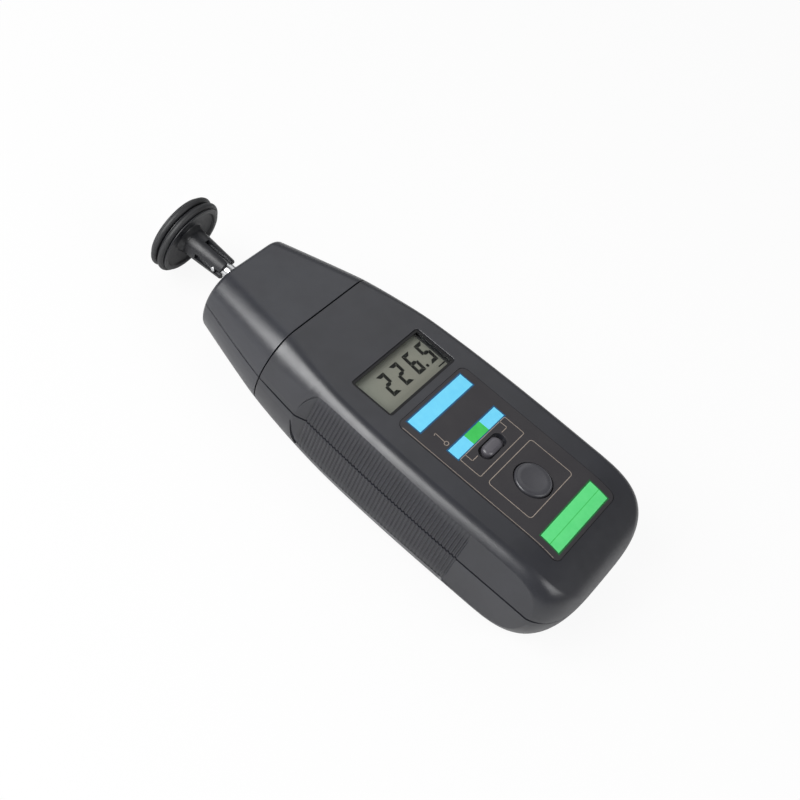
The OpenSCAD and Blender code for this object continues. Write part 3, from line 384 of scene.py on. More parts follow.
def add_block(bm, x, y, z0, w, l, h, r=0.0):
    """A block on z0, centred on x and y."""
    add_prism(bm, rounded(w, l, r, x, y, 4 if r else 0), [(z0, 0), (z0 + h, 0)])


def add_post(bm, x, y, z0, z1, d, steps=8):
    add_prism(bm, rounded(d, d, d / 2, x, y, steps), [(z0, 0), (z1, 0)])


def make_piece(name, bm, material, sharp=32):
    """Closes a mesh up, faces it outwards and makes it an object at the origin."""
    bmesh.ops.remove_doubles(bm, verts=bm.verts, dist=1e-7)
    bmesh.ops.dissolve_degenerate(bm, edges=bm.edges, dist=1e-7)
    bmesh.ops.recalc_face_normals(bm, faces=bm.faces)
    mesh = bpy.data.meshes.new(name)
    bm.to_mesh(mesh)
    bm.free()
    piece = new_object(name, mesh)
    if material:
        mesh.materials.append(material)
    soften_shading(mesh, sharp)
    return piece


def soften_shading(mesh, sharp):
    mesh.polygons.foreach_set("use_smooth", [True] * len(mesh.polygons))
    mesh.set_sharp_from_angle(angle=math.radians(sharp))


def settle(piece):
    """Turns a piece's modifiers into plain mesh."""
    bpy.context.view_layer.update()
    shown = piece.evaluated_get(bpy.context.evaluated_depsgraph_get())
    mesh = bpy.data.meshes.new_from_object(shown)
    piece.modifiers.clear()
    piece.data = mesh


def combine(piece, bm, operation, sharp=32):
    """Cuts a mesh out of a piece, joins it on or keeps what they share."""
    tool = make_piece("tool", bm, None)
    modifier = piece.modifiers.new("combine", "BOOLEAN")
    modifier.operation = operation
    modifier.object = tool
    modifier.solver = "MANIFOLD"
    settle(piece)
    bpy.data.objects.remove(tool)
    soften_shading(piece.data, sharp)


def even_shading(piece):
    """Lets the large faces lead the shading where a flat meets a rounding."""
    modifier = piece.modifiers.new("even", "WEIGHTED_NORMAL")
    modifier.keep_sharp = True
    settle(piece)


def linear(code):
    """Linear colour of an sRGB hex code."""
    parts = [int(code[i:i + 2], 16) / 255 for i in (1, 3, 5)]
    return [p / 12.92 if p <= 0.04045 else ((p + 0.055) / 1.055) ** 2.4 for p in parts] + [1]


def new_material(name, plain):
    """A material whose shader has these plain values, with its tree and object coordinates."""
    material = bpy.data.materials.new(name)
    tree = empty_tree(material)
    shader = add_node(tree, "ShaderNodeBsdfPrincipled", plain)
    add_node(tree, "ShaderNodeOutputMaterial", {"Surface": shader.outputs[0]})
    place = add_node(tree, "ShaderNodeTexCoord").outputs["Object"]
    return material, tree, shader, place


def cloud(tree, place, size):
    """Noise in clouds of about a size in millimetres."""
    return add_node(tree, "ShaderNodeTexNoise", {"Vector": place, "Scale": 1 / (size * MM),
                                                 "Detail": 2.0}).outputs[0]


def drift(tree, place, size, low, high):
    """A value that drifts between two limits over patches of a size in millimetres."""
    return add_node(tree, "ShaderNodeMapRange", {"Value": cloud(tree, place, size), "From Min": 0.3,
                                                 "From Max": 0.7, "To Min": low,
                                                 "To Max": high}).outputs[0]


def tones(tree, share, dark, light):
    """A colour between two hex codes."""
    return add_node(tree, "ShaderNodeMix", {0: share, 6: linear(dark), 7: linear(light)},
                    data_type="RGBA").outputs[2]


def two_tone(name, plain, patch, dark, light):
    """A material of two close tones that drift over patches of a size in millimetres."""
    material, tree, shader, place = new_material(name, plain)
    tree.links.new(tones(tree, drift(tree, place, patch, 0, 1), dark, light),
                   shader.inputs["Base Color"])
    return material, tree, shader, place


def add_bump(tree, shader, height, strength, depth):
    """Makes a material's surface rise with a value, by a depth in millimetres."""
    bump = add_node(tree, "ShaderNodeBump", {"Height": height, "Strength": strength,
                                             "Distance": depth * MM})
    tree.links.new(bump.outputs[0], shader.inputs["Normal"])


def moulded_plastic(name, dark, light, rough, grain, grain_depth, ior=1.54):
    """Moulded plastic: two close tones, gloss that drifts a little and the grain of its tool."""
    material, tree, shader, place = two_tone(name, {"IOR": ior, "Specular IOR Level": 0.65},
                                             14, dark, light)
    tree.links.new(drift(tree, place, 5, rough - 0.03, rough + 0.03), shader.inputs["Roughness"])
    add_bump(tree, shader, cloud(tree, place, grain), 0.35, grain_depth)
    return material


# Charcoal ABS gives a broad, soft highlight over a fine grain of about a third of a millimetre.
charcoal_abs = moulded_plastic("charcoal_abs", "#27282D", "#2B2C32", 0.33, 0.32, 0.012)

window_w = 39.8
window_x = 0.6
window_l = 17
window_y = 32.2
window_corner = 0.4
window_depth = 1.25
window_step_w = 1
window_step_z = 0.5
window_back_w = 0.7
window_edge = 0.1
pocket_w = 42.8
pocket_l = 21.2
root_sink = 0.6
board_pilot_l = 5.6
panel_w = 43.2
panel_front_y = 19.5
panel_rear_y = -54.4
panel_corner = 3
panel_recess = 0.35
knob_y = -9.8
slot_l = 14.6
slot_w = 5.8
memory_y = -28.7
memory_hole_d = 15.5
measure_l = 14
measure_h = 6.5
measure_z = 28.6
control_gap = 0.4
case_screws_at = [(-26, 3.2), (26, 3.2), (-22.4, 56), (22.4, 56)]
board_screws_at = [(-20.5, -48.5), (20.5, -48.5), (-20.5, 49.3), (20.5, 49.3)]
board_z = box_mm("main_board")[1].z
boss_d = 6.8
board_boss_d = 6
pilot_d = 2.9
board_pilot_d = 2.1
pilot_l = 7.6
relief = 0.15
facing_x = Matrix(((0, 0, 1, 0), (1, 0, 0, 0), (0, 1, 0, 0), (0, 0, 0, 1)))


def add_strip(bm, rows, low, high):
    """A thin layer on the face through rows of (y, left, right); it bends down with the tail."""
    rings = []
    for y, left, right in rows:
        z = level(y, 0, True)
        rings.append([(left, y, z + low), (right, y, z + low), (right, y, z + high), (left, y, z + high)])
    add_skin(bm, rings)


def add_sheet(bm, width, low, high):
    """A sheet with round corners over the panel's length; its ends keep their gap to the recess."""
    r = panel_corner
    gap = (panel_w - width) / 2
    corner_rows = [r * (1 - math.cos(math.pi / 2 * k / 8)) for k in range(9)]
    places = [panel_front_y - gap - c for c in corner_rows]
    places += [-tail_start + 2 - 1.2 * k for k in range(10)]
    places += [panel_rear_y + gap + c for c in reversed(corner_rows)]
    rows = []
    for y in places:
        depth = min(r, y - panel_rear_y - gap, panel_front_y - gap - y)
        half = width / 2 - r + math.sqrt(max(0, r * r - (r - depth) ** 2))
        rows.append((y, -half, half))
    add_strip(bm, rows, low, high)


bm = bmesh.new()
add_skin(bm, body_rings(True), closed=False)
upper_shell = make_piece("upper_shell_moulding", bm, charcoal_abs)
bosses = bmesh.new()
for x, y in case_screws_at:
    add_post(bosses, x, y, split_h + relief, body_h - wall + root_sink, boss_d)
for x, y in board_screws_at:
    add_post(bosses, x, y, board_z, level(y, wall, True) + root_sink, board_boss_d)
combine(upper_shell, bosses, "UNION")
openings = bmesh.new()
window_outline = rounded(window_w, window_l, window_corner, window_x, window_y, 4)
add_prism(openings, window_outline, [
    (body_h - wall - 1, window_back_w), (body_h - window_depth, window_back_w),
    (body_h - window_depth, 0), (body_h - window_step_z, 0), (body_h - window_step_z, window_step_w),
    (body_h - window_edge, window_step_w), (body_h + window_edge, window_step_w + 2 * window_edge)])
combine(upper_shell, openings, "DIFFERENCE")
openings = bmesh.new()
add_block(openings, 0, window_y, body_h - wall - 1, pocket_w, pocket_l, wall + 1 - window_depth)
combine(upper_shell, openings, "DIFFERENCE")
openings = bmesh.new()
add_sheet(openings, panel_w, -panel_recess, 0.1)
combine(upper_shell, openings, "DIFFERENCE")
openings = bmesh.new()
add_prism(openings, rounded(slot_l, slot_w, slot_w / 2, y=knob_y), [(body_h - 4, 0), (body_h + 1, 0)])
add_post(openings, 0, memory_y, body_h - 4, body_h + 1, memory_hole_d, 16)
side_hole = rounded(measure_l + 2 * control_gap, measure_h + 2 * control_gap,
                    measure_h / 2 + control_gap, measure_y, measure_z)
side_x = grip_x(measure_y) - (measure_z - split_h) * grip_slope
add_prism(openings, side_hole, [(side_x - 6, 0), (side_x - 0.3, 0), (side_x + 2, 2.3)], facing_x)
for x, y in case_screws_at:
    add_post(openings, x, y, split_h - 1, split_h + pilot_l, pilot_d, 6)
for x, y in board_screws_at:
    add_post(openings, x, y, board_z - 1, board_z + board_pilot_l, board_pilot_d, 6)
combine(upper_shell, openings, "DIFFERENCE")
even_shading(upper_shell)
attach(upper_shell, "casing")
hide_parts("upper_shell")

# Lower half of the body, moulded from the same ABS. Its back is open over the battery bay, whose
# ceiling and end walls are part of it, and wells take the heads of the four casing screws.
lower_boss_d = 8.4
well_d = 6
well_z = 9
hole_d = 3.2
bay_rear_y = -59
bay_front_y = -3
bay_wall = 1.5
bay_half_w = 34.5
ceiling_t = 1.05
cover_w = 60.6
cover_front_y = -6
cover_top_z = 9
cover_gap = 0.15
tongue_w = 1.2
tongue_rear_y = -44
tongue_z = 2.6
tongue_t = 1.4
sensor_x = 16.8
sensor_y = 61.2
sensor_foot_w = 4.4
sensor_foot_l = 8.6
sensor_foot_h = 6.6
sensor_slot_z = 7
sensor_slot_w = 1.8
sensor_slot_l = 12
sensor_slot_h = 6
well_edge = 0.4
front_wall_top_z = 21.5
front_wall_w = 63
front_wall_foot_z = 1.6
front_wall_foot_w = 54
front_wall_step_z = 4
rear_wall_w = 56
rear_wall_h = 12.6

bm = bmesh.new()
add_skin(bm, body_rings(False), closed=False)
lower_shell = make_piece("lower_shell_moulding", bm, charcoal_abs)
inner_walls = bmesh.new()
for x, y in case_screws_at:
    add_post(inner_walls, x, y, level(y, wall, False) - root_sink, split_h - relief, lower_boss_d)
add_block(inner_walls, 0, (bay_rear_y + bay_front_y) / 2, split_h - ceiling_t, 2 * bay_half_w,
          bay_front_y - bay_rear_y + 2 * bay_wall, ceiling_t - relief)
add_block(inner_walls, sensor_x, sensor_y, level(sensor_y, wall, False) - root_sink,
          sensor_foot_w, sensor_foot_l, sensor_foot_h)
combine(lower_shell, inner_walls, "UNION")


def add_well(bm, x, y):
    """A well for a screw's head, with a broken edge, and the hole through its floor."""
    back_z = level(y, 0, False)
    narrow = (hole_d - well_d) / 2
    add_prism(bm, rounded(well_d, well_d, well_d / 2, x, y), [
        (-1, 1), (back_z, well_edge), (back_z + well_edge, 0), (well_z, 0), (well_z, narrow),
        (split_h + 1, narrow)])


facing_y = Matrix(((1, 0, 0, 0), (0, 0, 1, 0), (0, 1, 0, 0), (0, 0, 0, 1)))
# The bay's front wall is narrower at its foot.
wall_right = [(front_wall_foot_w / 2, front_wall_foot_z), (front_wall_foot_w / 2, front_wall_step_z),
              (front_wall_w / 2, front_wall_step_z), (front_wall_w / 2, front_wall_top_z)]
wall_left = [(-x, z) for x, z in reversed(wall_right)]
inner_walls = bmesh.new()
add_plate(inner_walls, wall_left[-1:] + wall_right + wall_left[:-1], bay_front_y,
          bay_front_y + bay_wall, facing_y)
add_block(inner_walls, 0, bay_rear_y - bay_wall / 2, cover_top_z, rear_wall_w, bay_wall, rear_wall_h)
combine(lower_shell, inner_walls, "UNION")
openings = bmesh.new()
for x, y in case_screws_at:
    add_well(openings, x, y)
add_block(openings, 0, (cover_front_y - tail_l - 1) / 2 + cover_gap, -1, cover_w + 2 * cover_gap,
          tail_l + 1 + cover_front_y, cover_top_z + 1)
combine(lower_shell, openings, "DIFFERENCE")
openings = bmesh.new()
for side in (-1, 1):
    add_block(openings, side * (cover_w / 2 + tongue_w / 2), (tongue_rear_y + cover_front_y) / 2,
              tongue_z - 0.2, tongue_w + 0.6, cover_front_y - tongue_rear_y, tongue_t + 0.4)
add_block(openings, sensor_x, sensor_y, sensor_slot_z, sensor_slot_w, sensor_slot_l, sensor_slot_h)
combine(lower_shell, openings, "DIFFERENCE")
even_shading(lower_shell)
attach(lower_shell, "casing")
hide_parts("lower_shell")

# Battery cover, an ABS moulding that slides back off the lower half. Two tongues run in grooves
# along its sides, a latch holds its front edge, and six thumb grooves give a hold.
cover_t = 2.2
cover_rib_l = 50
cover_rib_t = 1.2
cover_rib_top_z = 6.2
cover_ribs_at = (-50, -33, -16)
side_rib_w = 2.7
latch_w = 14
latch_l = 2
latch_edge = 0.4
latch_rib_h = 1.3
thumb_start = 8
thumb_w = 22
thumb_groove_l = 0.8
thumb_flare = 0.9
thumb_pitch = 2
thumb_depth = 0.6
thumb_grooves = 6

bm = bmesh.new()
cover_rings = [half_ring(y, 0, 0, False) for y in tail_places(26, tail_l) + [-40, -30, -20, -10, 4]]
cover_rings += [half_ring(y, cover_t, cover_t, False)
                for y in [4, -10, -20, -30, -40] + tail_places(20, tail_l - cover_t)[::-1]]
add_skin(bm, cover_rings, closed=False)
battery_cover = make_piece("battery_cover_moulding", bm, charcoal_abs)
cover_middle = (cover_front_y - tail_l - 1) / 2
bm = bmesh.new()
add_block(bm, 0, cover_middle, -1, cover_w, tail_l + 1 + cover_front_y, cover_top_z + 0.9, 0.4)
combine(battery_cover, bm, "INTERSECT")
tongues = bmesh.new()
tongue_y = (cover_front_y - latch_l + tongue_rear_y) / 2
tongue_l = cover_front_y - latch_l - tongue_rear_y
for side in (-1, 1):
    add_block(tongues, side * cover_w / 2, tongue_y, tongue_z, 2 * tongue_w, tongue_l, tongue_t, 0.3)
add_block(tongues, 0, cover_front_y, tongue_z, latch_w, 2 * latch_l, tongue_t, 0.6)
combine(battery_cover, tongues, "UNION")
cover_ribs = bmesh.new()
for side in (-1, 1):
    add_block(cover_ribs, side * (cover_w / 2 - side_rib_w / 2), tongue_y, cover_t - root_sink,
              side_rib_w, tongue_l, tongue_z + tongue_t - cover_t + root_sink)
for y in cover_ribs_at:
    add_block(cover_ribs, 0, y, cover_t - root_sink, cover_rib_l, cover_rib_t,
              cover_rib_top_z - cover_t + root_sink)
add_block(cover_ribs, 0, cover_front_y - latch_l, cover_t - root_sink, latch_w - latch_edge,
          2 * latch_l - latch_edge, latch_rib_h)
combine(battery_cover, cover_ribs, "UNION")
grooves = bmesh.new()
for k in range(thumb_grooves):
    y = cover_front_y - thumb_start - k * thumb_pitch
    add_prism(grooves, rounded(thumb_w, thumb_groove_l, thumb_groove_l / 2, 0, y, 4),
              [(-1, thumb_flare), (thumb_depth, 0)])
combine(battery_cover, grooves, "DIFFERENCE")
even_shading(battery_cover)
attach(battery_cover, "cover")
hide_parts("battery_cover")

# Nose, two ABS halves screwed together round the bearing housing. A stepped spigot at the rear
# plugs into the body, and the spindle comes out through a hole across their parting line.
spigot_rear_y = seam_y - 4
seam_gap = 0.4
spigot_t = 2.3
spigot_inner_t = 3.7
spigot_step_l = 1.6
nose_boss_cover = 1.8
nose_edge = 1.6
front_wall = 3
spindle_z = 19.4
spindle_hole_d = 9
nose_screws_at = [(-19, 77.5), (19, 77.5)]
housing_screws_at = [(-10.9, 82.5), (10.9, 82.5), (-10.9, 95.5), (10.9, 95.5)]
housing_base_z = 8.4
# The nose is the same ABS; its colour here is a shade lighter, painted light for its sloping face.
nose_abs_painted_lighter = moulded_plastic("nose_abs_painted_lighter", "#2A2B31", "#2E3036", 0.32, 0.32, 0.012)


def nose_rings(up):
    """Rings of a half of the nose: outside from the front to the seam, round the spigot and
    inside to the front wall."""
    rings = edge_rings(nose_y, -1, nose_edge, 8, up)[::-1]
    rear = seam_y + seam_gap
    for k in range(1, 12):
        rings.append(half_ring(blend(nose_y - nose_edge, rear + 2 * mould_edge, k / 11), 0, 0, up,
                               line=parting_depth))
    rings += edge_rings(rear, 1, mould_edge, 4, up)
    step_y = rear + spigot_step_l
    shift = grip_inset * (seam_y - spigot_rear_y) / (seam_y - grip_front_y - ramp_l)
    for y, side, top in ((rear, spigot_t, spigot_t), (spigot_rear_y, spigot_t + shift, spigot_t),
                         (spigot_rear_y, spigot_inner_t + shift, spigot_inner_t),
                         (step_y, spigot_inner_t, spigot_inner_t), (step_y, wall, wall)):
        rings.append(half_ring(y, side, top, up))
    for k in range(1, 9):
        rings.append(half_ring(blend(step_y, nose_y - front_wall, k / 8), wall, wall, up))
    return rings


for up, name in ((True, "nose_upper"), (False, "nose_lower")):
    bm = bmesh.new()
    add_skin(bm, nose_rings(up), closed=False)
    nose = make_piece(name + "_moulding", bm, nose_abs_painted_lighter)
    bosses = bmesh.new()
    for x, y in nose_screws_at:
        if up:
            add_post(bosses, x, y, split_h + relief, level(y, nose_boss_cover, True), boss_d)
        else:
            add_post(bosses, x, y, level(y, wall, False) - root_sink, split_h - relief, lower_boss_d)
    if not up:
        for x, y in housing_screws_at:
            add_post(bosses, x, y, level(y, wall, False) - root_sink, housing_base_z, board_boss_d - 1)
    combine(nose, bosses, "UNION")
    openings = bmesh.new()
    spindle_hole = rounded(spindle_hole_d, spindle_hole_d, spindle_hole_d / 2, 0, spindle_z, 12)
    add_prism(openings, spindle_hole, [(nose_y - front_wall - 1, 0), (nose_y - 0.4, 0),
                                       (nose_y + 0.2, 0.6)], facing_y)
    for x, y in nose_screws_at:
        if up:
            add_post(openings, x, y, split_h - 1, split_h + pilot_l, pilot_d, 6)
        else:
            add_well(openings, x, y)
    combine(nose, openings, "DIFFERENCE")
    even_shading(nose)
    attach(nose, "casing")
    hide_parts(name)

# Panel sheet, a printed polycarbonate film stuck into a shallow recess of the face. The film is
# matt from behind its ink, and its fields and lines are printed, here as very thin pieces. The thin
# light line along its left edge is not print but a painted highlight.
film_top = body_h + 0.08
film_gap = 0.22
film_ease = 0.1
ink_t = 0.02
border_t = 0.01
line_w = 0.28
field_edge = 0.55
upper_y = 14.5
upper_w = 34.4
upper_l = 6
strip_y = -2.33
strip_w = 30.7
strip_l = 4.74
lower_y = -48
lower_w = 35.1
lower_l = 8.6
ink_film, ink_tree, ink_shader, ink_place = two_tone(
    "printed_polycarbonate_film", {"IOR": 1.58, "Roughness": 0.5}, 9, "#2B292D", "#302E31")
add_bump(ink_tree, ink_shader, cloud(ink_tree, ink_place, 0.4), 0.3, 0.008)


def printed_ink(name, dark, light):
    """Screen ink under matt film: an even colour with a faint cloud in it."""
    return two_tone(name, {"IOR": 1.5, "Roughness": 0.55}, 3, dark, light)[0]


blue_ink = printed_ink("blue_ink", "#6CD2F8", "#74D8FA")
green_ink = printed_ink("green_ink", "#5ADC80", "#62E086")
deep_green_ink = printed_ink("deep_green_ink", "#38BE54", "#40C85E")
dark_blue_ink = printed_ink("dark_blue_ink", "#144A72", "#1B5680")
dark_green_ink = printed_ink("dark_green_ink", "#115A28", "#186A34")
# This ink also paints the highlight along the film's left edge.
line_and_highlight_ink = printed_ink("warm_grey_ink_and_highlight", "#8F8378", "#A0948A")

bm = bmesh.new()
add_sheet(bm, panel_w - 2 * film_gap, -panel_recess, film_top - body_h)
film = make_piece("panel_film", bm, ink_film, sharp=50)
openings = bmesh.new()
film_hole = [(body_h - 1, 0), (film_top - 0.05, 0), (film_top + 0.1, 0.15)]
film_slot = rounded(slot_l + 2 * film_ease, slot_w + 2 * film_ease, slot_w / 2 + film_ease, y=knob_y)
film_ring = rounded(memory_hole_d + film_ease, memory_hole_d + film_ease, memory_hole_d / 2,
                    y=memory_y, steps=16)
for outline in (film_slot, film_ring):
    add_prism(openings, outline, film_hole)
combine(film, openings, "DIFFERENCE")
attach(film, "casing")
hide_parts("face_overlay")


def add_band(bm, outline, width):
    """A printed line along an outline."""
    rings = [(film_top, 0), (film_top, -width), (film_top + ink_t, -width), (film_top + ink_t, 0)]
    add_prism(bm, outline, rings, capped=False)


def add_line(bm, x0, y0, x1, y1):
    """A straight printed line."""
    along = Vector((x1 - x0, y1 - y0)).normalized() * line_w / 2
    across = Vector((-along.y, along.x))
    start = Vector((x0, y0)) - along
    end = Vector((x1, y1)) + along
    corners = [start - across, end - across, end + across, start + across]
    add_plate(bm, corners, film_top, film_top + ink_t)


def print_field(name, x, y, w, l, ink, top=ink_t):
    """A printed rectangle."""
    bm = bmesh.new()
    rows = [(y + l * (k / 6 - 0.5), x - w / 2, x + w / 2) for k in range(7)]
    add_strip(bm, rows, film_top - body_h, film_top - body_h + top)
    field = make_piece(name, bm, ink)
    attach(field, "casing")


def print_border(name, y, w, l, ink):
    """A thinner printed rectangle under a field, of which a narrow edge shows."""
    print_field(name, 0, y, w + 2 * field_edge, l + 2 * field_edge, ink, border_t)


print_border("upper_field_border", upper_y, upper_w, upper_l, dark_blue_ink)
print_field("upper_field", 0, upper_y, upper_w, upper_l, blue_ink)
print_border("function_strip_border", strip_y, strip_w, strip_l, dark_blue_ink)
print_field("function_strip_left", -10.2, strip_y, 10.3, strip_l, blue_ink)
print_field("function_strip_middle", 0, strip_y, 10.1, strip_l, deep_green_ink)
print_field("function_strip_right", 10.2, strip_y, 10.3, strip_l, blue_ink)
print_border("lower_field_border", lower_y, lower_w, lower_l, dark_green_ink)
print_field("lower_field_front", 0, -45.8, lower_w, 4.2, green_ink)
print_field("lower_field_divider", 0, lower_y, lower_w, 0.3, deep_green_ink)
print_field("lower_field_rear", 0, -50.2, lower_w, 4.2, green_ink)

bm = bmesh.new()
add_band(bm, rounded(29.9, 19.8, 1.6, 0, -27.6), line_w)
add_band(bm, rounded(30.2, 9.6, 0.8, 0, -9.9), line_w)
# A thin painted highlight, for the light on the film's left edge, runs along it and bends down with the
# tail.
painted_edge_highlight = [(17 - 3 * k, -20.95, -20.75) for k in range(24)]
add_strip(bm, painted_edge_highlight, film_top - body_h, film_top - body_h + ink_t)
for side in (-1, 1):
    add_line(bm, side * 11.6, -5.2, side * 11.6, -8.6)
    add_line(bm, side * 11.6, -8.6, side * 8.2, -8.6)
add_line(bm, -12.9, 7.7, -13.2, 3.4)
add_line(bm, -12.9, 7.7, -14.0, 7.4)
add_band(bm, rounded(2.2, 1.8, 0.9, -13.2, 2.3, 6), line_w)
# This piece holds the printed lines and the painted highlight on the film's left edge.
printed_lines = make_piece("printed_lines", bm, line_and_highlight_ink)
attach(printed_lines, "casing")

# Display. A clear acrylic pane is glued in from inside the window; under it a reflective liquid
# crystal glass lies in a black frame on the board, and its segments stand dark on grey-green.
digit_h = 9.7
digit_w = 4.6
digit_pitch = 8.06
digit_slant = 0.09
digit_stroke = 1.5
digit_gap = 0.06
display_text = "226.5"
digits_x = -7.1
digits_y = 28.1
point_x = 4.0
mark_x = 18.2
mark_y = 25.7
mark_w = 4.2
mark_l = 0.55
point_w = 1.3
pane_edge = 0.1
segments_lit = {"2": "abged", "5": "afgcd", "6": "afgedc"}
lcd_low, lcd_high = box_mm("lcd_module")
pane_low, pane_high = box_mm("display_window")

# Acrylic has an index of 1.49. A lower one is used here, so that the pane reflects less and the
# segments under it show black.
pane_index = 1.27
acrylic = bpy.data.materials.new("clear_acrylic")
acrylic_tree = empty_tree(acrylic)
acrylic_place = add_node(acrylic_tree, "ShaderNodeTexCoord").outputs["Object"]
acrylic_clear = add_node(acrylic_tree, "ShaderNodeBsdfTransparent", {"Color": (0.97, 0.98, 0.96, 1)})
acrylic_gloss = add_node(acrylic_tree, "ShaderNodeBsdfGlossy", {
    "Roughness": drift(acrylic_tree, acrylic_place, 6, 0.08, 0.12)})
acrylic_mirror = add_node(acrylic_tree, "ShaderNodeFresnel", {"IOR": pane_index})
acrylic_side = add_node(acrylic_tree, "ShaderNodeNewGeometry")
acrylic_front = add_node(acrylic_tree, "ShaderNodeMath", {
    0: 1.0, 1: acrylic_side.outputs["Backfacing"]}, operation="SUBTRACT")
acrylic_share = add_node(acrylic_tree, "ShaderNodeMath", {
    0: acrylic_mirror.outputs[0], 1: acrylic_front.outputs[0]}, operation="MULTIPLY")
acrylic_mix = add_node(acrylic_tree, "ShaderNodeMixShader", {
    0: acrylic_share.outputs[0], 1: acrylic_clear.outputs[0], 2: acrylic_gloss.outputs[0]})
add_node(acrylic_tree, "ShaderNodeOutputMaterial", {"Surface": acrylic_mix.outputs[0]})

bm = bmesh.new()
pane_w = pane_high.x - pane_low.x
pane_l = pane_high.y - pane_low.y
add_prism(bm, rounded(pane_w, pane_l, 0.5, y=window_y, steps=4), [
    (pane_low.z, -pane_edge), (pane_low.z + pane_edge, 0), (pane_high.z - pane_edge, 0),
    (pane_high.z, -pane_edge)])
pane = make_piece("window_pane", bm, acrylic)
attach(pane, "casing")
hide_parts("display_window")

# A black sheet lies round the window, over its step and down its edge; it is painted shade for the
# recess.
window_shadow_black = two_tone("window_shadow_black", {"IOR": 1.5, "Roughness": 0.5}, 4, "#0E0E10", "#151517")[0]
window_shadow_top = body_h - window_step_z + 0.08
window_shadow_low = body_h - window_step_z - 0.3
window_shadow_levels = [(window_shadow_low, -0.12), (window_shadow_top, -0.12), (window_shadow_top, window_step_w - 0.05),
                 (window_shadow_top - 0.07, window_step_w - 0.05), (window_shadow_top - 0.07, -0.01),
                 (window_shadow_low, -0.01)]
bm = bmesh.new()
add_prism(bm, window_outline, window_shadow_levels, capped=False)
window_shade_sheet = make_piece("window_border", bm, window_shadow_black)
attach(window_shade_sheet, "casing")

# The polariser's grey-green warms a little towards the near right corner.
polariser, pol_tree, pol_shader, pol_place = new_material("display_polariser", {
    "IOR": 1.5, "Roughness": 0.45})
pol_shift = add_node(pol_tree, "ShaderNodeMapping", {"Vector": pol_place,
                                                     "Location": (-0.004, -0.024, 0)})
pol_spot = add_node(pol_tree, "ShaderNodeVectorMath", {0: pol_shift.outputs[0]}, operation="LENGTH")
pol_share = add_node(pol_tree, "ShaderNodeMapRange", {"Value": pol_spot.outputs["Value"],
                                                      "From Min": 0.05, "From Max": 0.028,
                                                      "To Min": 0.0, "To Max": 1.0})
pol_tree.links.new(tones(pol_tree, pol_share.outputs[0], "#7F837E", "#857F77"),
                   pol_shader.inputs["Base Color"])
bm = bmesh.new()
lcd_w = lcd_high.x - lcd_low.x
lcd_l = lcd_high.y - lcd_low.y
film_z = lcd_high.z
add_prism(bm, rounded(lcd_w, lcd_l, 0.3, y=window_y, steps=2), [(lcd_low.z, 0), (film_z, 0)])
lcd = make_piece("lcd_glass", bm, polariser)
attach(lcd, "casing")
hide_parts("lcd_module")

# A lit segment blocks the light, so it looks like matt black with soft ends.
segment_black = two_tone("segment_black", {"IOR": 1.5, "Roughness": 0.6, "Specular IOR Level": 0.1},
                         2, "#0D0E0D", "#141513")[0]


def segment_outline(name):
    """Corners of one of a digit's seven segments, in the digit's own upright frame."""
    w = digit_w / 2
    m = digit_h / 2
    s = digit_stroke
    g = digit_gap
    if name == "g":
        corners = [(s / 2 + g - w, 0), (s + g - w, s / 2), (w - s - g, s / 2), (w - s / 2 - g, 0),
                   (w - s - g, -s / 2), (s + g - w, -s / 2)]
    elif name in "ad":
        corners = [(g - w, m), (w - g, m), (w - g - s, m - s), (s + g - w, m - s)]
    else:
        corners = [(w, m - g), (w, g), (w - s / 2, g), (w - s, s / 2 + g), (w - s, m - s - g)]
    side = -1 if name in "ef" else 1
    end = -1 if name in "cde" else 1
    return [(side * x, m + end * y) for x, y in corners]


bm = bmesh.new()
segment_low = film_z - 0.02
segment_top = film_z + 0.03
glyph_x = digits_x
for glyph in display_text:
    if glyph == ".":
        x = glyph_x - digit_pitch + point_x
        add_prism(bm, rounded(point_w, point_w, 0.4, x, digits_y + digit_stroke / 2, 3),
                  [(segment_low, 0), (segment_top, 0)])
        continue
    for name in segments_lit[glyph]:
        corners = [(glyph_x + u + digit_slant * v, digits_y + v) for u, v in segment_outline(name)]
        add_plate(bm, corners, segment_low, segment_top)
    glyph_x += digit_pitch
add_prism(bm, rounded(mark_w, mark_l, 0.2, mark_x, mark_y, 3), [(segment_low, 0), (segment_top, 0)])
digits = make_piece("display_segments", bm, segment_black)
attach(digits, "casing")

# Memory button, a moulded ABS cap with a shallow dish. It passes up through the face and the
# film, and a flange under the face keeps it in.
memory_d = 14.7
button_low, button_high = box_mm("memory_button")


def soften(points, radius, steps=3):
    """Rounds the corners of a closed outline of (radius, height), but not those on the axis."""
    rounded_points = []
    count = len(points)
    for i, point in enumerate(points):
        p = Vector(point)
        a = Vector(points[i - 1]) - p
        b = Vector(points[(i + 1) % count]) - p
        cut = min(radius, 0.45 * a.length, 0.45 * b.length)
        if p.x < 1e-6 or a.normalized().dot(b.normalized()) < -0.995:
            rounded_points.append(p)
            continue
        start = p + a.normalized() * cut
        end = p + b.normalized() * cut
        for k in range(steps + 1):
            s = k / steps
            rounded_points.append(start * (1 - s) ** 2 + p * 2 * s * (1 - s) + end * s ** 2)
    return rounded_points


def add_turned(bm, profile, steps, turn):
    """Turns a closed outline of (radius, height) round an axis that turn puts in place."""
    columns = []
    for k in range(steps):
        q = 2 * math.pi * k / steps
        columns.append([turn @ Vector((r * math.cos(q), r * math.sin(q), h)) for r, h in profile])
    add_skin(bm, columns, capped=False)


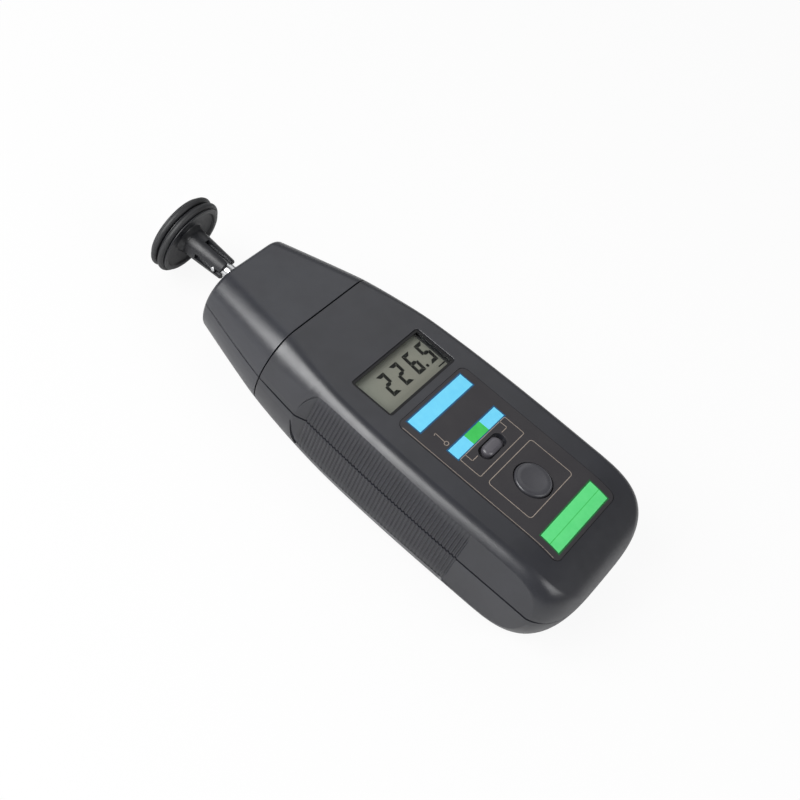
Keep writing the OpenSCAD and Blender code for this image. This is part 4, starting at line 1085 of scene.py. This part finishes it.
# Grey ABS with a polished cap, smoother than the casing.
button_abs = moulded_plastic("button_abs", "#3B3B40", "#434348", 0.3, 0.5, 0.004)
stem_r = 3.5
flange_r = 8.85
flange_low_z = button_high.z - 4.6
flange_top_z = button_high.z - 3.5
dish = 0.25
dish_r = memory_d / 2 - 0.75
dish_points = [(r, button_high.z - dish * (1 - (r / dish_r) ** 2))
               for r in (dish_r - k * 0.9 for k in range(1, 8))]
button_profile = soften([
    (0, button_low.z), (stem_r, button_low.z), (stem_r, flange_low_z), (flange_r, flange_low_z),
    (flange_r, flange_top_z), (memory_d / 2, flange_top_z), (memory_d / 2, button_high.z - 0.5),
    (memory_d / 2 - 0.6, button_high.z)], 0.45)
bm = bmesh.new()
add_turned(bm, button_profile + [Vector(p) for p in dish_points] + [Vector((0, button_high.z - dish))],
           72, Matrix.Translation((0, memory_y, 0)))
memory_button = make_piece("memory_button_cap", bm, button_abs, sharp=40)
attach(memory_button, "memory_key")
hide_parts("memory_button")

# Slide knob, a small oval ABS moulding. Its wide flange runs under the face, and its foot drives
# the slider of the switch on the board.
knob_l = 10
knob_w = 5.2
knob_foot_w = 3
knob_foot_l = 2.4
knob_low, knob_high = box_mm("function_knob")
knob_flange_t = 0.8
knob_flange_z = body_h - wall - control_gap - knob_flange_t
knob_abs = moulded_plastic("knob_abs", "#504E54", "#5C5A60", 0.3, 0.4, 0.006)


def crown(top, rise, inset, steps):
    """Levels of a rounded top: how high the rounding is, and how far in it ends."""
    turns = [math.pi / 2 * k / steps for k in range(steps + 1)]
    return [(top - rise + rise * math.sin(q), -inset * (1 - math.cos(q))) for q in turns]


bm = bmesh.new()
knob_outline = rounded(knob_l, knob_w, knob_w / 2, y=knob_y, steps=10)
add_prism(bm, knob_outline, [(knob_flange_z + knob_flange_t / 2, 0)] + crown(knob_high.z, 1.3, 1.6, 8))
function_knob = make_piece("function_knob_moulding", bm, knob_abs, sharp=40)
bm = bmesh.new()
add_block(bm, 0, knob_y, knob_flange_z, knob_high.x - knob_low.x, knob_high.y - knob_low.y,
          knob_flange_t, 0.6)
combine(function_knob, bm, "UNION")
bm = bmesh.new()
add_block(bm, 0, knob_y, knob_low.z, knob_foot_w, knob_foot_l,
          knob_flange_z - knob_low.z + knob_flange_t / 2, 0.3)
combine(function_knob, bm, "UNION")
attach(function_knob, "function_slider")
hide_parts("function_knob")

# Measuring button on the right-hand grip, moulded in dull red ABS so that the thumb finds it.
# Its flange lies behind the grip and its stem presses the switch on the board's edge.
key_low, key_high = box_mm("measure_button")
measure_abs = moulded_plastic("dull_red_abs", "#8A2B27", "#98342E", 0.35, 0.4, 0.006)
flange_x = key_low.x + 2
flange_t = 1.2
flange_rim = 1.2
key_stem_d = 2.6
bm = bmesh.new()
key_outline = rounded(measure_l, measure_h, measure_h / 2, measure_y, measure_z, 10)
add_prism(bm, key_outline, [(flange_x, flange_rim), (flange_x + flange_t, flange_rim),
                            (flange_x + flange_t, 0)] + crown(key_high.x, 0.9, 0.9, 6), facing_x)
measure_button = make_piece("measure_button_cap", bm, measure_abs, sharp=40)
bm = bmesh.new()
add_prism(bm, rounded(key_stem_d, key_stem_d, key_stem_d / 2, measure_y, measure_z, 6),
          [(key_low.x, 0), (flange_x + 0.5, 0)], facing_x)
combine(measure_button, bm, "UNION", 40)
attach(measure_button, "measure_key")
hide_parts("measure_button")

# Measuring wheel, turned from black acetal. Its hub is slotted into four prongs that grip the
# spindle and take the drive of the cross pin; two grooves in its rim hold the rubber rings.
wheel_y = box_mm("measuring_wheel")[0].y
wheel_d = 31.83
ring_d = 2.6
wheel_w = 7.4
hub_l = 18.2
hub_tip_d = 9
hub_root_d = 11.2
hub_slot_l = 12
slot_cut = 2.1
bore_d = 6.1
bore_l = 17.6
seat_d = wheel_d - 2 * ring_d
rim_d = wheel_d - ring_d - 0.4
seat_w = ring_d + 0.1
rim_edge = (wheel_w - 2 * seat_w) / 3
web_d = seat_d - 2.4
web_dip = 1.4
wheel_end = hub_l + wheel_w
seat_1 = hub_l + rim_edge
seat_2 = wheel_end - rim_edge - seat_w


def along_y(y):
    """Puts a turned part on the spindle's axis with its foot at y."""
    return Matrix(((1, 0, 0, 0), (0, 0, 1, y), (0, -1, 0, spindle_z), (0, 0, 0, 1)))


def cross_outline(reach, half):
    """Outline of a cross whose arms have a reach and half a width."""
    arm = [(reach, -half), (reach, half), (half, half)]
    return [(c * x - s * y, s * x + c * y) for c, s in ((1, 0), (0, 1), (-1, 0), (0, -1)) for x, y in arm]


# Black acetal is waxy and takes fine turning marks, here a third of a millimetre apart.
turning_mark = 0.33
acetal, acetal_tree, acetal_shader, acetal_place = two_tone(
    "black_acetal", {"IOR": 1.48, "Specular IOR Level": 0.65}, 6, "#1C1D21", "#232428")
acetal_axis = add_node(acetal_tree, "ShaderNodeMapping", {
    "Vector": acetal_place, "Location": (0, 0, -spindle_z * MM)})
acetal_round = add_node(acetal_tree, "ShaderNodeVectorMath", {
    0: acetal_axis.outputs[0], 1: (1, 0, 1)}, operation="MULTIPLY")
acetal_radius = add_node(acetal_tree, "ShaderNodeVectorMath", {0: acetal_round.outputs[0]},
                         operation="LENGTH")
acetal_marks = add_node(acetal_tree, "ShaderNodeMath", {
    0: acetal_radius.outputs["Value"], 1: 2 * math.pi / (turning_mark * MM)}, operation="MULTIPLY")
acetal_wave = add_node(acetal_tree, "ShaderNodeMath", {0: acetal_marks.outputs[0]}, operation="SINE")
add_bump(acetal_tree, acetal_shader, acetal_wave.outputs[0], 0.15, 0.004)
acetal_tree.links.new(drift(acetal_tree, acetal_place, 3, 0.34, 0.4), acetal_shader.inputs["Roughness"])

hub_profile = soften([
    (0, bore_l), (bore_d / 2, bore_l), (bore_d / 2, 0), (hub_tip_d / 2, 0),
    (hub_root_d / 2, hub_l - 0.6), (hub_root_d / 2 + 0.8, hub_l + web_dip),
    (web_d / 2, hub_l + 0.6 * web_dip), (web_d / 2 + 0.4, hub_l), (rim_d / 2, hub_l),
    (rim_d / 2, seat_1), (seat_d / 2, seat_1), (seat_d / 2, seat_1 + seat_w),
    (rim_d / 2, seat_1 + seat_w), (rim_d / 2, seat_2), (seat_d / 2, seat_2),
    (seat_d / 2, wheel_end - rim_edge), (rim_d / 2, wheel_end - rim_edge), (rim_d / 2, wheel_end),
    (web_d / 2 + 0.4, wheel_end), (web_d / 2, wheel_end - web_dip),
    (hub_root_d / 2, wheel_end - web_dip), (hub_root_d / 2 - 1, wheel_end - 0.4),
    (0, wheel_end - 0.4)], 0.3)
bm = bmesh.new()
add_turned(bm, hub_profile, 96, along_y(wheel_y))
wheel = make_piece("measuring_wheel_turned", bm, acetal, sharp=35)
slots = bmesh.new()
add_plate(slots, cross_outline(hub_root_d, slot_cut / 2), -1, hub_slot_l, along_y(wheel_y))
combine(wheel, slots, "DIFFERENCE", 35)
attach(wheel, "wheel")
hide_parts("measuring_wheel")

# Rubber rings, two moulded nitrile O-rings stretched into the wheel's grooves. They make the
# wheel 100 mm round and grip the surface that is measured.
nitrile = moulded_plastic("nitrile_rubber", "#1B1C1E", "#232427", 0.55, 0.3, 0.01, 1.52)
bm = bmesh.new()
for y in (rim_edge + seat_w / 2, wheel_w - rim_edge - seat_w / 2):
    tube = [(wheel_d / 2 - ring_d / 2 + ring_d / 2 * math.cos(q), ring_d / 2 * math.sin(q))
            for q in (2 * math.pi * k / 20 for k in range(20))]
    add_turned(bm, tube, 96, along_y(wheel_y + hub_l + y))
rings = make_piece("rubber_rings", bm, nitrile, sharp=60)
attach(rings, "wheel")
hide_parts("wheel_rings")

# Spindle, ground from bright steel, with a shoulder against its rear bearing, a groove for the
# retaining ring, a cross pin that drives the hub and a chamfered tip.
shaft_low, shaft_high = box_mm("spindle_shaft")
pin_low, pin_high = box_mm("spindle_pin")
spindle_d = 6
ring_y = 76
ring_t = 0.8
shoulder_y = 82.3
shoulder_l = 2
shoulder_r = 4
groove_r = 2.5
shaft_l = shaft_high.y - shaft_low.y


def turned_metal(name, dark, light, rough, mark):
    """Bright turned or drawn metal with faint lines round its axis, along Y."""
    material, tree, shader, place = new_material(name, {"Metallic": 1.0})
    streak = add_node(tree, "ShaderNodeMapping", {"Vector": place, "Scale": (0.05, 1, 0.05)})
    lines = cloud(tree, streak.outputs[0], mark)
    tree.links.new(tones(tree, lines, dark, light), shader.inputs["Base Color"])
    gloss = add_node(tree, "ShaderNodeMapRange", {"Value": lines, "To Min": rough,
                                                  "To Max": rough + 0.12})
    tree.links.new(gloss.outputs[0], shader.inputs["Roughness"])
    return material


bright_steel = turned_metal("ground_steel", "#D2D4D6", "#E6E7E8", 0.16, 0.25)
spindle_r = spindle_d / 2
ring_at = ring_y - shaft_low.y
ring_end = ring_y + ring_t - shaft_low.y
shoulder_at = shoulder_y - shaft_low.y
shoulder_end = shoulder_y + shoulder_l - shaft_low.y
shaft_profile = [(0, 0), (spindle_r - 0.4, 0), (spindle_r, 0.4), (spindle_r, ring_at),
                 (groove_r, ring_at), (groove_r, ring_end), (spindle_r, ring_end),
                 (spindle_r, shoulder_at), (shoulder_r, shoulder_at), (shoulder_r, shoulder_end),
                 (spindle_r, shoulder_end), (spindle_r, shaft_l - 0.6), (spindle_r - 0.6, shaft_l),
                 (0, shaft_l)]
bm = bmesh.new()
add_turned(bm, shaft_profile, 64, along_y(shaft_low.y))
shaft = make_piece("spindle_shaft_ground", bm, bright_steel)
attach(shaft, "spindle")
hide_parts("spindle_shaft")

pin_d = pin_high.y - pin_low.y
pin_l = pin_high.x - pin_low.x
pin_y = (pin_low.y + pin_high.y) / 2
bm = bmesh.new()
add_turned(bm, soften([(0, 0), (pin_d / 2, 0), (pin_d / 2, pin_l), (0, pin_l)], 0.35), 32,
           Matrix.Translation((pin_low.x, pin_y, spindle_z)) @ facing_x)
pin = make_piece("spindle_pin_drawn", bm, bright_steel)
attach(pin, "spindle")
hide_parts("spindle_pin")

# Screws, zinc-plated steel with pan heads and cross recesses. Those of the casing and the nose
# go in from the back; the small ones hold the board and the bearing housing.
screw_steel = turned_metal("zinc_plated_steel", "#8E9094", "#A9ABAE", 0.3, 0.2)


def new_tree(name, inputs, output):
    """A tree that makes a shape, with named inputs, and the sockets that give their values."""
    tree = bpy.data.node_groups.new(name, "GeometryNodeTree")
    for socket_name, kind in inputs.items():
        tree.interface.new_socket(socket_name, in_out="INPUT", socket_type="NodeSocket" + kind)
    tree.interface.new_socket(output, in_out="OUTPUT", socket_type="NodeSocketGeometry")
    return tree, add_node(tree, "NodeGroupInput").outputs


def run_tree(piece, tree, values):
    """Runs a tree on a piece, with these input values, and leaves a plain mesh."""
    modifier = piece.modifiers.new("shape", "NODES")
    modifier.node_group = tree
    for item in tree.interface.items_tree:
        if item.name in values:
            modifier[item.identifier] = values[item.name]
    settle(piece)


set_out_tree, given = new_tree("set_out", {"Places": "Geometry", "Part": "Object",
                                           "Largest Turn": "Float", "Seed": "Int",
                                           "Finish": "Material"}, "Parts")
source = add_node(set_out_tree, "GeometryNodeObjectInfo", {"Object": given["Part"]})
turn_by = add_node(set_out_tree, "FunctionNodeRandomValue", {
    2: 0.0, 3: given["Largest Turn"], "Seed": given["Seed"]}, data_type="FLOAT")
turn_about = add_node(set_out_tree, "ShaderNodeCombineXYZ", {"Z": turn_by.outputs[1]})
turned = add_node(set_out_tree, "FunctionNodeEulerToRotation", {0: turn_about.outputs[0]})
copies = add_node(set_out_tree, "GeometryNodeInstanceOnPoints", {
    "Points": given["Places"], "Instance": source.outputs["Geometry"],
    "Rotation": turned.outputs[0]})
real_parts = add_node(set_out_tree, "GeometryNodeRealizeInstances", {0: copies.outputs[0]})
finished = add_node(set_out_tree, "GeometryNodeSetMaterial", {
    "Geometry": real_parts.outputs[0], "Material": given["Finish"]})
add_node(set_out_tree, "NodeGroupOutput", {0: finished.outputs[0]})


def set_out(name, part, places, finish, largest_turn=0.0, seed=1):
    """Copies of one part at a list of places in millimetres, as one plain mesh."""
    mesh = bpy.data.meshes.new(name)
    mesh.from_pydata([Vector(p) * MM for p in places], [], [])
    piece = new_object(name, mesh)
    run_tree(piece, set_out_tree, {"Part": part, "Largest Turn": largest_turn, "Seed": seed,
                                   "Finish": finish})
    bpy.data.objects.remove(part)
    soften_shading(piece.data, 35)
    return piece


def new_screw(head_d, head_h, shank_d, shank_l):
    """One screw with its head's top at the origin and its shank upwards."""
    bm = bmesh.new()
    add_turned(bm, [(0, 0), (head_d * 0.2, 0), (head_d * 0.36, head_h * 0.08),
                    (head_d * 0.46, head_h * 0.3), (head_d / 2, head_h * 0.62), (head_d / 2, head_h),
                    (shank_d / 2, head_h), (shank_d / 2, head_h + shank_l - 0.6),
                    (shank_d / 2 - 0.5, head_h + shank_l), (0, head_h + shank_l)], 32, Matrix())
    screw = make_piece("screw", bm, None)
    recess = bmesh.new()
    points = cross_outline(head_d * 0.3, head_d * 0.075)
    add_skin(recess, [[(x * grow, y * grow, z) for x, y in points]
                      for z, grow in ((-0.5, 1.15), (head_h * 0.6, 0.7))])
    combine(screw, recess, "DIFFERENCE")
    return screw


# Each group: where, the height of its heads' tops, diameter and height of the head, diameter and
# length of the shank, and whether its screws point down.
screw_groups = {
    "case_screws": (case_screws_at, 7.1, (5.4, 1.9, 2.8, 19.4), False),
    "nose_screws": (nose_screws_at, 7.1, (5.4, 1.9, 2.8, 19.4), False),
    "board_screws": (board_screws_at, 24.6, (3.8, 1.4, 2, 6), False),
    "housing_screws": (housing_screws_at, 12.4, (3.8, 1.4, 2, 4.6), True)}
for name, (spots, top_z, sizes, downwards) in screw_groups.items():
    screw = new_screw(*sizes)
    if downwards:
        screw.data.transform(Matrix.Rotation(math.pi, 4, "X"))
    places = [(x, y, top_z) for x, y in spots]
    screws = set_out(name + "_pan_head", screw, places, screw_steel, math.pi / 2, len(name))
    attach(screws, "casing")
    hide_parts(name)

# Cells, four AA alkaline cells side by side, each the other way round from its neighbour. A
# steel can in a printed plastic sleeve with a pale band, and a raised nub at the positive end.
cell_d = 14.5
cell_l = 50.5
nub_d = 5.4
nub_l = 1
dimple_r = 5.6
bare_r = 6.2
band_at = 36
sleeve_gloss = {"IOR": 1.5, "Roughness": 0.28}
sleeve = two_tone("cell_sleeve", sleeve_gloss, 8, "#27607C", "#2E6F8E")[0]
sleeve_pale = two_tone("cell_sleeve_pale_band", sleeve_gloss, 8, "#C9CDD0", "#D6DADC")[0]
plated_steel = turned_metal("nickel_plated_steel", "#B4B5B0", "#CBCBC6", 0.22, 0.3)
cell_r = cell_d / 2
shoulder = cell_l - nub_l
can = [(0, 0.3), (dimple_r, 0.3), (6.4, 0), (cell_r - 0.3, 0), (cell_r, 0.3), (cell_r, band_at),
       (cell_r, shoulder - 0.4), (cell_r - 0.5, shoulder), (5.9, shoulder), (dimple_r, shoulder - 0.5),
       (nub_d / 2, shoulder - 0.5), (nub_d / 2, cell_l - 0.3), (nub_d / 2 - 0.4, cell_l), (0, cell_l)]
for i in (1, 2, 3, 4):
    low, high = box_mm(f"cell_{i}")
    x = (low.x + high.x) / 2
    z = (low.z + high.z) / 2
    forward = i % 2 == 1
    turn = Matrix(((1, 0, 0, x), (0, 0, 1, low.y), (0, -1, 0, z), (0, 0, 0, 1)))
    if not forward:
        turn = Matrix(((1, 0, 0, x), (0, 0, -1, high.y), (0, 1, 0, z), (0, 0, 0, 1)))
    bm = bmesh.new()
    add_turned(bm, can, 64, turn)
    cell = make_piece(f"cell_{i}_sleeved", bm, sleeve)
    cell.data.materials.append(plated_steel)
    cell.data.materials.append(sleeve_pale)
    for polygon in cell.data.polygons:
        off_axis = math.hypot(polygon.center.x / MM - x, polygon.center.z / MM - z)
        along = (polygon.center.y / MM - low.y) if forward else (high.y - polygon.center.y / MM)
        if off_axis < bare_r:
            polygon.material_index = 1
        elif along > band_at:
            polygon.material_index = 2
    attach(cell, "casing")
    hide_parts(f"cell_{i}")

# Contact springs, wound from nickel-plated spring wire and welded to the plates at the ends of
# the bay. Each presses on the flat end of a cell.
spring_tree, given = new_tree("wound_spring", {"Start": "Geometry", "Turns": "Float",
                                               "Coil Radius": "Float", "Length": "Float",
                                               "Wire Radius": "Float", "Finish": "Material"}, "Spring")
coil = add_node(spring_tree, "GeometryNodeCurveSpiral", {
    "Resolution": 28, "Rotations": given["Turns"], "Start Radius": given["Coil Radius"],
    "End Radius": given["Coil Radius"], "Height": given["Length"]})
wire = add_node(spring_tree, "GeometryNodeCurvePrimitiveCircle", {
    "Resolution": 10, "Radius": given["Wire Radius"]})
wound = add_node(spring_tree, "GeometryNodeCurveToMesh", {
    "Curve": coil.outputs[0], "Profile Curve": wire.outputs[0], "Fill Caps": True})
wound_finish = add_node(spring_tree, "GeometryNodeSetMaterial", {
    "Geometry": wound.outputs[0], "Material": given["Finish"]})
real_spring = add_node(spring_tree, "GeometryNodeRealizeInstances", {0: wound_finish.outputs[0]})
add_node(spring_tree, "NodeGroupOutput", {0: real_spring.outputs[0]})

spring_low, spring_high = box_mm("contact_springs")
cell_z = (box_mm("cell_1")[0].z + box_mm("cell_1")[1].z) / 2
spring_l = 4.7
spring_d = 7
wire_d = 0.7
spring_turns = 3.0
cell_pitch = 15
spring_places = []
for i in (1, 2, 3, 4):
    x = (i - 2.5) * cell_pitch
    spring_places.append((x, spring_low.y if i % 2 == 1 else spring_high.y - spring_l, cell_z))
spring = new_object("spring", bpy.data.meshes.new("spring"))
run_tree(spring, spring_tree, {
    "Turns": spring_turns, "Coil Radius": (spring_d - wire_d) / 2 * MM, "Wire Radius": wire_d / 2 * MM,
    "Length": (spring_l - wire_d) * MM, "Finish": plated_steel})
spring.data.transform(Matrix(((1, 0, 0, 0), (0, 0, 1, wire_d / 2 * MM), (0, -1, 0, 0), (0, 0, 0, 1))))
springs = set_out("contact_springs_wound", spring, spring_places, plated_steel)
bm = bmesh.new()
bm.from_mesh(springs.data)
bmesh.ops.recalc_face_normals(bm, faces=bm.faces)
bm.to_mesh(springs.data)
bm.free()
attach(springs, "casing")
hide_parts("contact_springs")

# Board and what stands on it. A glass-epoxy board with green solder resist carries the display,
# the switches, the processor and its small parts; here the CAD solids only get their finishes.
solder_resist, resist_tree, resist_shader, resist_place = new_material("green_solder_resist", {
    "IOR": 1.5, "Roughness": 0.32})
tracks = add_node(resist_tree, "ShaderNodeTexBrick", {
    "Vector": resist_place, "Scale": 1.0, "Brick Width": 7 * MM, "Row Height": 1.6 * MM,
    "Mortar Size": 0.35 * MM, "Color1": linear("#25603C"), "Color2": linear("#296744"),
    "Mortar": linear("#3B8458")})
resist_tree.links.new(tracks.outputs["Color"], resist_shader.inputs["Base Color"])
add_bump(resist_tree, resist_shader, tracks.outputs["Fac"], 0.4, 0.03)
chip_epoxy = moulded_plastic("moulded_epoxy", "#1A1B1D", "#212225", 0.5, 0.15, 0.006)
small_parts = turned_metal("tinned_parts", "#85878A", "#9EA0A3", 0.3, 0.3)
black_abs = moulded_plastic("black_abs", "#1E1F21", "#26272A", 0.42, 0.3, 0.01)
ivory_acetal = moulded_plastic("ivory_acetal", "#CFC9B9", "#DAD5C6", 0.4, 0.3, 0.006, 1.48)
cast_zinc = moulded_plastic("die_cast_zinc", "#6B6F73", "#7C8084", 0.42, 0.5, 0.02)
cast_zinc.node_tree.nodes["Principled BSDF"].inputs["Metallic"].default_value = 1.0


def striped(name, plain, scale, dark, light):
    """A material with soft stripes across X. A scale of 1 has 20 / (2 * pi) stripes to a metre."""
    material, tree, shader, place = new_material(name, plain)
    wave = add_node(tree, "ShaderNodeTexWave", {"Vector": place, "Scale": scale, "Distortion": 0.0},
                    bands_direction="X")
    tree.links.new(tones(tree, wave.outputs["Fac"], dark, light), shader.inputs["Base Color"])
    return material


# These scales put the lead's stripes 3.9 mm apart and those of the connector strips 2.0 mm.
lead_scale = 250 / math.pi
connector_scale = 500 / math.pi
flat_cable = striped("flat_cable_vinyl", {"IOR": 1.53, "Roughness": 0.45}, lead_scale,
                     "#A39D8E", "#C4BFB1")
striped_rubber = striped("striped_silicone", {"IOR": 1.41, "Roughness": 0.6}, connector_scale,
                         "#3A3A3A", "#D8CFBE")
finishes = {
    "lcd_holder": black_abs, "lcd_connectors": striped_rubber, "main_board": solder_resist,
    "microcontroller": chip_epoxy, "board_components": small_parts, "memory_switch": black_abs,
    "memory_plunger": measure_abs, "function_switch": small_parts, "measure_switch": black_abs,
    "measure_plunger": ivory_acetal, "sensor_board": solder_resist, "sensor_lead": flat_cable,
    "photo_interrupter": black_abs, "encoder_disc": black_abs, "front_bearing": bright_steel,
    "rear_bearing": bright_steel, "bearing_housing": cast_zinc, "retaining_ring": screw_steel,
    "contact_plates": plated_steel}
for node, finish in finishes.items():
    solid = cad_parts[node]
    solid.data.materials.clear()
    solid.data.materials.append(finish)
